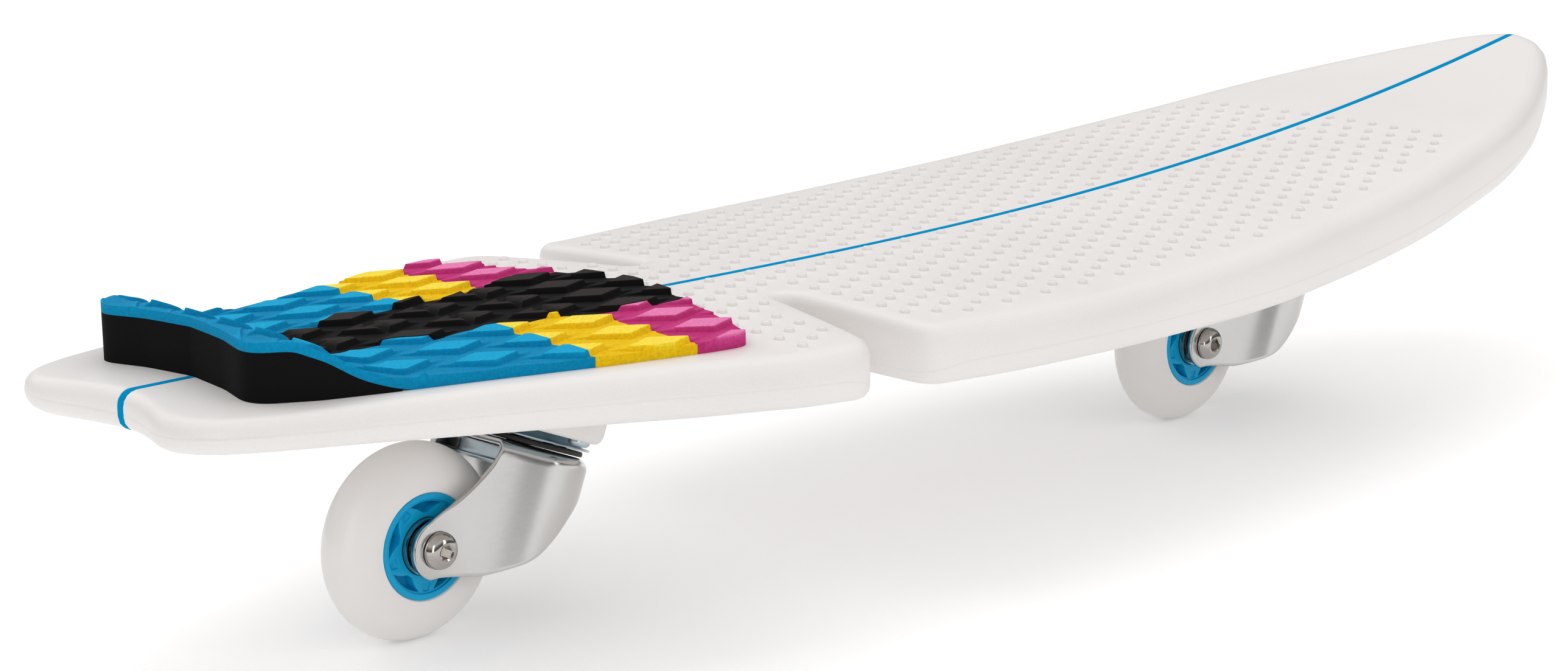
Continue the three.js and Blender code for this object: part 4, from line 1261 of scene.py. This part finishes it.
# %% [markdown]
# The fork is one pressed sheet: a round hood that narrows into two level legs. The path runs along
# the hood's plan from one leg's end round the front to the other, and at each of its points a
# column rises from the cut lower edge up the wall, over the rounded shoulder and across the crown
# to the hole for the kingpin. The sheet then gets its thickness.
# %% Fork plan and edges
HOOD, LEG, SHEET, SHOULDER, CROWN_HOLE, LEG_END = 28.0, 18.5, 2.5, 4.6, 8.5, 11.5
CROWN_TOP, CROWN_BACK, LEG_ROUND = -2.6, -24.8, -47.6
WALL_TOP = CROWN_TOP - SHOULDER
lower_edge = through([(-40.4, -59.7), (-36, -58.0), (-28, -56.0), (-20, -54.1), (-11, -49.5),
                      (-1, -42.6), (6, -34.4), (12.5, -25.5), (20.6, -16.5), (28.2, -8.9)])
rear_edge = through([(-51.6, -46.0), (-47.6, -39.3), (-43, -34.4), (-38.4, -30.2), (-34, -24.9),
                     (-30.4, -19.6), (-26.9, -13.4), (-25.3, -9.6), (CROWN_BACK, WALL_TOP)])


def fork_plan():
    """Places (u, v) on the left, from the middle of the front to the leg's end."""
    path = [(HOOD * cos(radians(a)), HOOD * sin(radians(a)), 0) for a in range(0, 102, 3)]
    path += [(-26.67, LEG, 0), (-60, LEG, 0)]
    path = soften(path, len(path) - 2, 14, 0.55, 12)
    path = [(x, y) for x, y, _ in relaxed(evenly(path, 0.9), 8)]
    front = evenly(stretch(path, None, CROWN_BACK), 1.3)
    middle = evenly(stretch(path, CROWN_BACK, -REACH), 1.3)
    tip = [(-REACH - LEG_END * sin(radians(7.2 * k)), LEG) for k in range(1, 13)]
    return front, middle[1:] + tip


def leg_span(u):
    """Lowest and highest place of the wall at u."""
    end = math.sqrt(max(LEG_END ** 2 - (u + REACH) ** 2, 0))
    low = -DROP - end if u < -REACH else lower_edge(u)
    high = -DROP + end if u < LEG_ROUND else rear_edge(u) if u < CROWN_BACK else WALL_TOP
    return low, high


# %% Fork sheet
WALL_STEPS, ARC_STEPS = 26, 6


def fork_sheet():
    """The outside surface of the pressing, still without thickness."""
    front, leg = fork_plan()
    half = front + leg
    path = [(x, -y) for x, y in half[:0:-1]] + half
    inwards, spans = left_of(path, closed=False), [leg_span(x) for x, _ in path]
    row = lambda share: [Vector((x, y, low + (high - low) * share))
                         for (x, y), (low, high) in zip(path, spans)]
    mesh = bmesh.new()
    chain = first_ring(mesh, row(0))
    bmesh.ops.delete(mesh, geom=[mesh.edges.get((chain[-1], chain[0]))], context="EDGES")
    for step in range(1, WALL_STEPS + 1):
        chain = grow(mesh, chain, row(step / WALL_STEPS), chain_edges(mesh, chain))
    kept = slice(len(leg), len(leg) + 2 * len(front) - 1)
    chain, crown = chain[kept], list(zip(path, inwards))[kept]
    for step in range(1, ARC_STEPS + 1):
        turn = pi / 2 * step / ARC_STEPS
        inward, rise = SHOULDER * (1 - cos(turn)), SHOULDER * sin(turn)
        places = [Vector((x + nx * inward, y + ny * inward, WALL_TOP + rise))
                  for (x, y), (nx, ny) in crown]
        chain = grow(mesh, chain, places, chain_edges(mesh, chain))
    rim_edges = chain_edges(mesh, chain) + [mesh.edges.new((chain[-1], chain[0]))]
    hole = first_ring(mesh, circle(CROWN_HOLE, CROWN_TOP, len(rim_edges)))
    bmesh.ops.bridge_loops(mesh, edges=rim_edges + ring_edges(mesh, hole))
    return mesh


def broken_edges(mesh, degrees, offset):
    """Rounds every edge that is sharper than this."""
    face_out(mesh)
    edges = [e for e in mesh.edges if e.calc_face_angle(0) > radians(degrees)]
    bmesh.ops.bevel(mesh, geom=edges, offset=offset, segments=2, affect="EDGES", profile=0.5,
                    material=-1)
    return mesh


def fork_mesh():
    mesh = fork_sheet()
    face_out(mesh)
    if max(mesh.faces, key=lambda f: f.calc_center_median().x).normal.x < 0:
        bmesh.ops.reverse_faces(mesh, faces=mesh.faces)
    bmesh.ops.solidify(mesh, geom=mesh.faces[:], thickness=SHEET)
    return broken_edges(mesh, 60, 0.4)


for end in AXLES:
    fitted(end, "hood", fork_mesh(), swivel_frame(end), "satin_nickel_steel", "fork", "fork",
           sharp=50)

# %% [markdown]
# ## The wheel
# The tyre is urethane cast round a moulded hub: nearly a full ellipse of tread with a narrow flat
# beside the hub. The hub has a rim, a web and five three-cornered pockets on each face, with a
# small mark between each two. The pockets fall on the rows and columns of the turned web: its rings
# are turned a little so that their points lie on the pockets' edges, and the faces inside are
# extruded inwards.
# %% Tyre
def tyre_mesh():
    side = [(20.5 + 17.5 * cos(radians(a)) ** 0.9, 12 * sin(radians(a)))
            for a in range(-84, 85, 4)]
    profile = [(20.45, -11.4), (20.9, -12.0), *side, (20.9, 12.0), (20.45, 11.4)]
    return grown([circle(r, y, 144) for r, y in profile], joined=True)


# %% Hub
WEB, HUB_HALF, HUB_OUT, POCKET_IN, POCKET_OUT, MARK_IN = 10.9, 11.8, 20.38, 12.9, 17.2, 14.3
FIFTH, FIRST_POCKET = tau / 5, radians(57)


def pocket_half(radius):
    """Half of a pocket's angle at a radius; the rings outside the pockets share the widest."""
    share = (min(max(radius, POCKET_IN), POCKET_OUT) - POCKET_IN) / (POCKET_OUT - POCKET_IN)
    return radians(5 + 19 * share)


def hub_ring(radius, height):
    half, angles = pocket_half(radius), []
    for sector in range(5):
        middle, land = tau * sector / 5 + FIRST_POCKET, FIFTH - 2 * half
        angles += [middle + half * k / 6 for k in range(-6, 7)]
        angles += [middle + half + land * k / 6 for k in range(1, 6)]
    return [Vector((radius * cos(a), radius * sin(a), height)) for a in angles]


def in_recess(face, first, last, around, half):
    """Is the middle of a web face between two radii and near one of five directions?"""
    centre = face.calc_center_median()
    radius = hypot(centre.x, centre.y)
    if not (first < radius < last and abs(abs(centre.z) - WEB) < 0.01):
        return False
    turn = (math.atan2(centre.y, centre.x) - around + FIFTH / 2) % FIFTH - FIFTH / 2
    return abs(turn) < half(radius)


def recess(mesh, side, depth, *where):
    """Presses the chosen web faces of one side inwards."""
    faces = [f for f in mesh.faces
             if f.calc_center_median().z * side > 0 and in_recess(f, *where)]
    floor = made_points(bmesh.ops.extrude_face_region(mesh, geom=faces))
    bmesh.ops.delete(mesh, geom=faces, context="FACES")
    bmesh.ops.translate(mesh, verts=list(floor), vec=(0, 0, -depth * side))


def hub_mesh():
    half = [(9.2, 6.1), (11.2, 6.1), (11.2, WEB), (POCKET_IN, WEB), (MARK_IN, WEB), (15.8, WEB),
            (POCKET_OUT, WEB), (17.95, WEB), (17.95, HUB_HALF), (HUB_OUT, HUB_HALF)]
    profile = half + [(r, -y) for r, y in half[::-1]]
    mesh = grown([hub_ring(r, y) for r, y in profile], joined=True)
    mark_half = lambda radius: (FIFTH / 2 - pocket_half(radius)) / 3 + 0.01
    for side in (1, -1):
        recess(mesh, side, 5.0, POCKET_IN, POCKET_OUT, FIRST_POCKET, pocket_half)
        recess(mesh, side, 0.7, MARK_IN, POCKET_OUT, FIRST_POCKET + FIFTH / 2, mark_half)
    return broken_edges(mesh, 50, 0.32)


for end in AXLES:
    here = axle_frame(end)
    fitted(end, "tread", tyre_mesh(), here, "white_urethane", "tyre", "wheel")
    fitted(end, "hub_body", hub_mesh(), here, "blue_plastic", "hub", "wheel", sharp=40)

# %% [markdown]
# Two bearings sit in each hub. The outer rings turn with the wheel, and the inner rings, with their
# shields, stay with the axle bolt, the long spacer between them and the short spacers beside the
# legs.
# %% Bearings, spacers, bolt and nut
def side_ring(inner, outer, low, high):
    return turned([(inner, low), (outer, low), (outer, high), (inner, high)], 0.25, 72)


def shielded_ring():
    return turned([(4.0, 6.4), (5.9, 6.4), (5.9, 12.4), (8.85, 12.4), (8.85, 12.9), (5.9, 12.9),
                   (5.6, 13.4), (4.0, 13.4)], 0.15, 72)


def bolt_mesh():
    """Domed head with a hexagon socket at the top, shank and blunt end below."""
    rows = [(2.5, 20.6, hexagon), (2.5, 22.85, hexagon), (3.35, 23.22), (4.1, 23.1), (5.2, 22.7),
            (6.1, 22.0), (6.75, 21.1), (7.1, 20.1), (7.25, 19.3), (7.15, 18.85), (6.9, 18.8),
            (3.7, 18.8), (3.7, -24.6)]
    for k in range(4):
        rows += [(3.35, -24.9 - 0.6 * k), (3.7, -25.2 - 0.6 * k)]
    return grown(stack(60, 0, rows + [(2.9, -27.2)]))


def lock_nut():
    """A six-sided nut with the round collar that holds the locking ring."""
    rows = ((4.1, 0), (6.5, 0), (6.5, 0.7, hexagon), (6.5, 4.3, hexagon), (6.5, 5.0), (5.9, 5.1),
            (5.8, 6.5), (5.3, 7.0), (4.3, 7.0), (3.95, 6.6), (3.95, 0.5))
    return grown(stack(60, 18.8, rows), joined=True)


for end in AXLES:
    for hand, side in (("left", 1), ("right", -1)):
        at = axle_frame(end, side)
        for part, mesh, node, body in (
                ("race", side_ring(9.15, 11, 6.4, 13.4), "bearing_outer", "wheel"),
                ("shield", shielded_ring(), "bearing_inner", "fork"),
                ("washer", side_ring(4, 6.2, 13.7, 15.7), "side_spacer", "fork")):
            fitted(end, f"{part}_{hand}", mesh, at, STEEL, f"{node}_{hand}", body)
    here = axle_frame(end)
    fitted(end, "sleeve", side_ring(4, 5.8, -6.1, 6.1), here, STEEL, "hub_spacer", "fork")
    fitted(end, "bolt", bolt_mesh(), axle_frame(end, -1), STEEL, "axle_bolt", "fork", sharp=24)
    fitted(end, "nut", lock_nut(), here, ZINC, "axle_nut", "fork", sharp=24)

# %% [markdown]
# The two rings of balls run inside the closed swivel, where nothing shows from outside. Their
# solids are already right, so they are kept and only get their finish.
# %% Kept solids
for end in AXLES:
    for node in (f"{end}_upper_ball_ring", f"{end}_lower_ball_ring"):
        solid = bpy.data.objects[node]
        solid.data.materials.clear()
        solid.data.materials.append(finishes[STEEL])
        print("kept:", node)

# %% [markdown]
# ## Stage, light and camera
# A photograph of a product on white is lit by big soft lights. The floor is plain and nearly white,
# wide enough to fill the view, and the camera stands where the photograph was taken: its place was
# worked out from the two wheels and the deck's edges.
# %% Floor
def pale_floor():
    mesh = bmesh.new()
    bmesh.ops.create_grid(mesh, x_segments=1, y_segments=1, size=9)
    data = bpy.data.meshes.new("floor")
    mesh.to_mesh(data)
    mesh.free()
    finish = Finish("pale_floor", Roughness=0.9, Specular_IOR_Level=0.1,
                    Emission_Color=shade("FFFFFF"), Emission_Strength=0.16)
    tone = finish.mix(finish.noise(1.5, 2), shade("F7F7F7"), shade("FCFCFC"))
    data.materials.append(finish.wear("Principled BSDF", Base_Color=tone))
    in_scene("floor", data)


pale_floor()

# %% Lights
def soft_light(name, place, towards, size, power):
    lamp = bpy.data.lights.new(name, "AREA")
    lamp.shape, lamp.energy = "RECTANGLE", power
    lamp.size, lamp.size_y = size
    light = in_scene(name, lamp)
    light.location = place
    light.rotation_euler = (Vector(towards) - Vector(place)).to_track_quat("-Z", "Y").to_euler()


soft_light("overhead", (0.1, 0.3, 1.9), (0, 0, 0.1), (2.2, 1.4), 9)
soft_light("left_bank", (-0.4, 1.9, 1.1), (0, 0, 0.1), (1.8, 0.9), 4)
soft_light("front_card", (-1.7, -1.5, 0.6), (0, 0, 0.08), (0.7, 1.5), 7)
soft_light("right_strip", (0.9, -2.0, 0.8), (0, 0, 0.08), (0.4, 1.4), 4)


def studio_sky(strength, *levels):
    """Grey light all round; each level is (height from 0 below to 1 above, brightness)."""
    sky = Nodes(bpy.data.worlds.new("studio"))
    split = sky.node("SeparateXYZ", Vector=sky.node("TexCoord")["Generated"])
    light = sky.ramp(split["Z"] * 0.5 + 0.5, *((at, grey(level)) for at, level in levels))
    bpy.context.scene.world = sky.wear("Background", Color=light, Strength=strength)


studio_sky(0.83, (0.0, 0.9), (0.49, 0.9), (0.52, 0.12), (0.62, 0.3), (0.74, 1.0), (1.0, 1.1))

# %% Camera
YAW, PITCH, ROLL = (radians(a) for a in (43.776, 13.336, -0.866))
STAND = Vector((-1046.7, -997.3, 409.8)) * MM
FOCAL_PIXELS, IMAGE_WIDTH, SENSOR = 5712.8, 2576, 36.0


def photo_camera():
    lens = bpy.data.cameras.new("camera")
    lens.sensor_width, lens.clip_end = SENSOR, 50
    lens.lens = FOCAL_PIXELS / IMAGE_WIDTH * SENSOR
    camera = in_scene("camera", lens)
    camera.matrix_world = Matrix.Translation(STAND)
    for angle, axis in ((-YAW, "Z"), (pi / 2 - PITCH, "X"), (ROLL, "Z")):
        camera.matrix_world @= Matrix.Rotation(angle, 4, axis)
    bpy.context.scene.camera = camera
    print("camera lens:", round(lens.lens, 2), "mm")


photo_camera()
bpy.context.scene.view_settings.view_transform = "Standard"
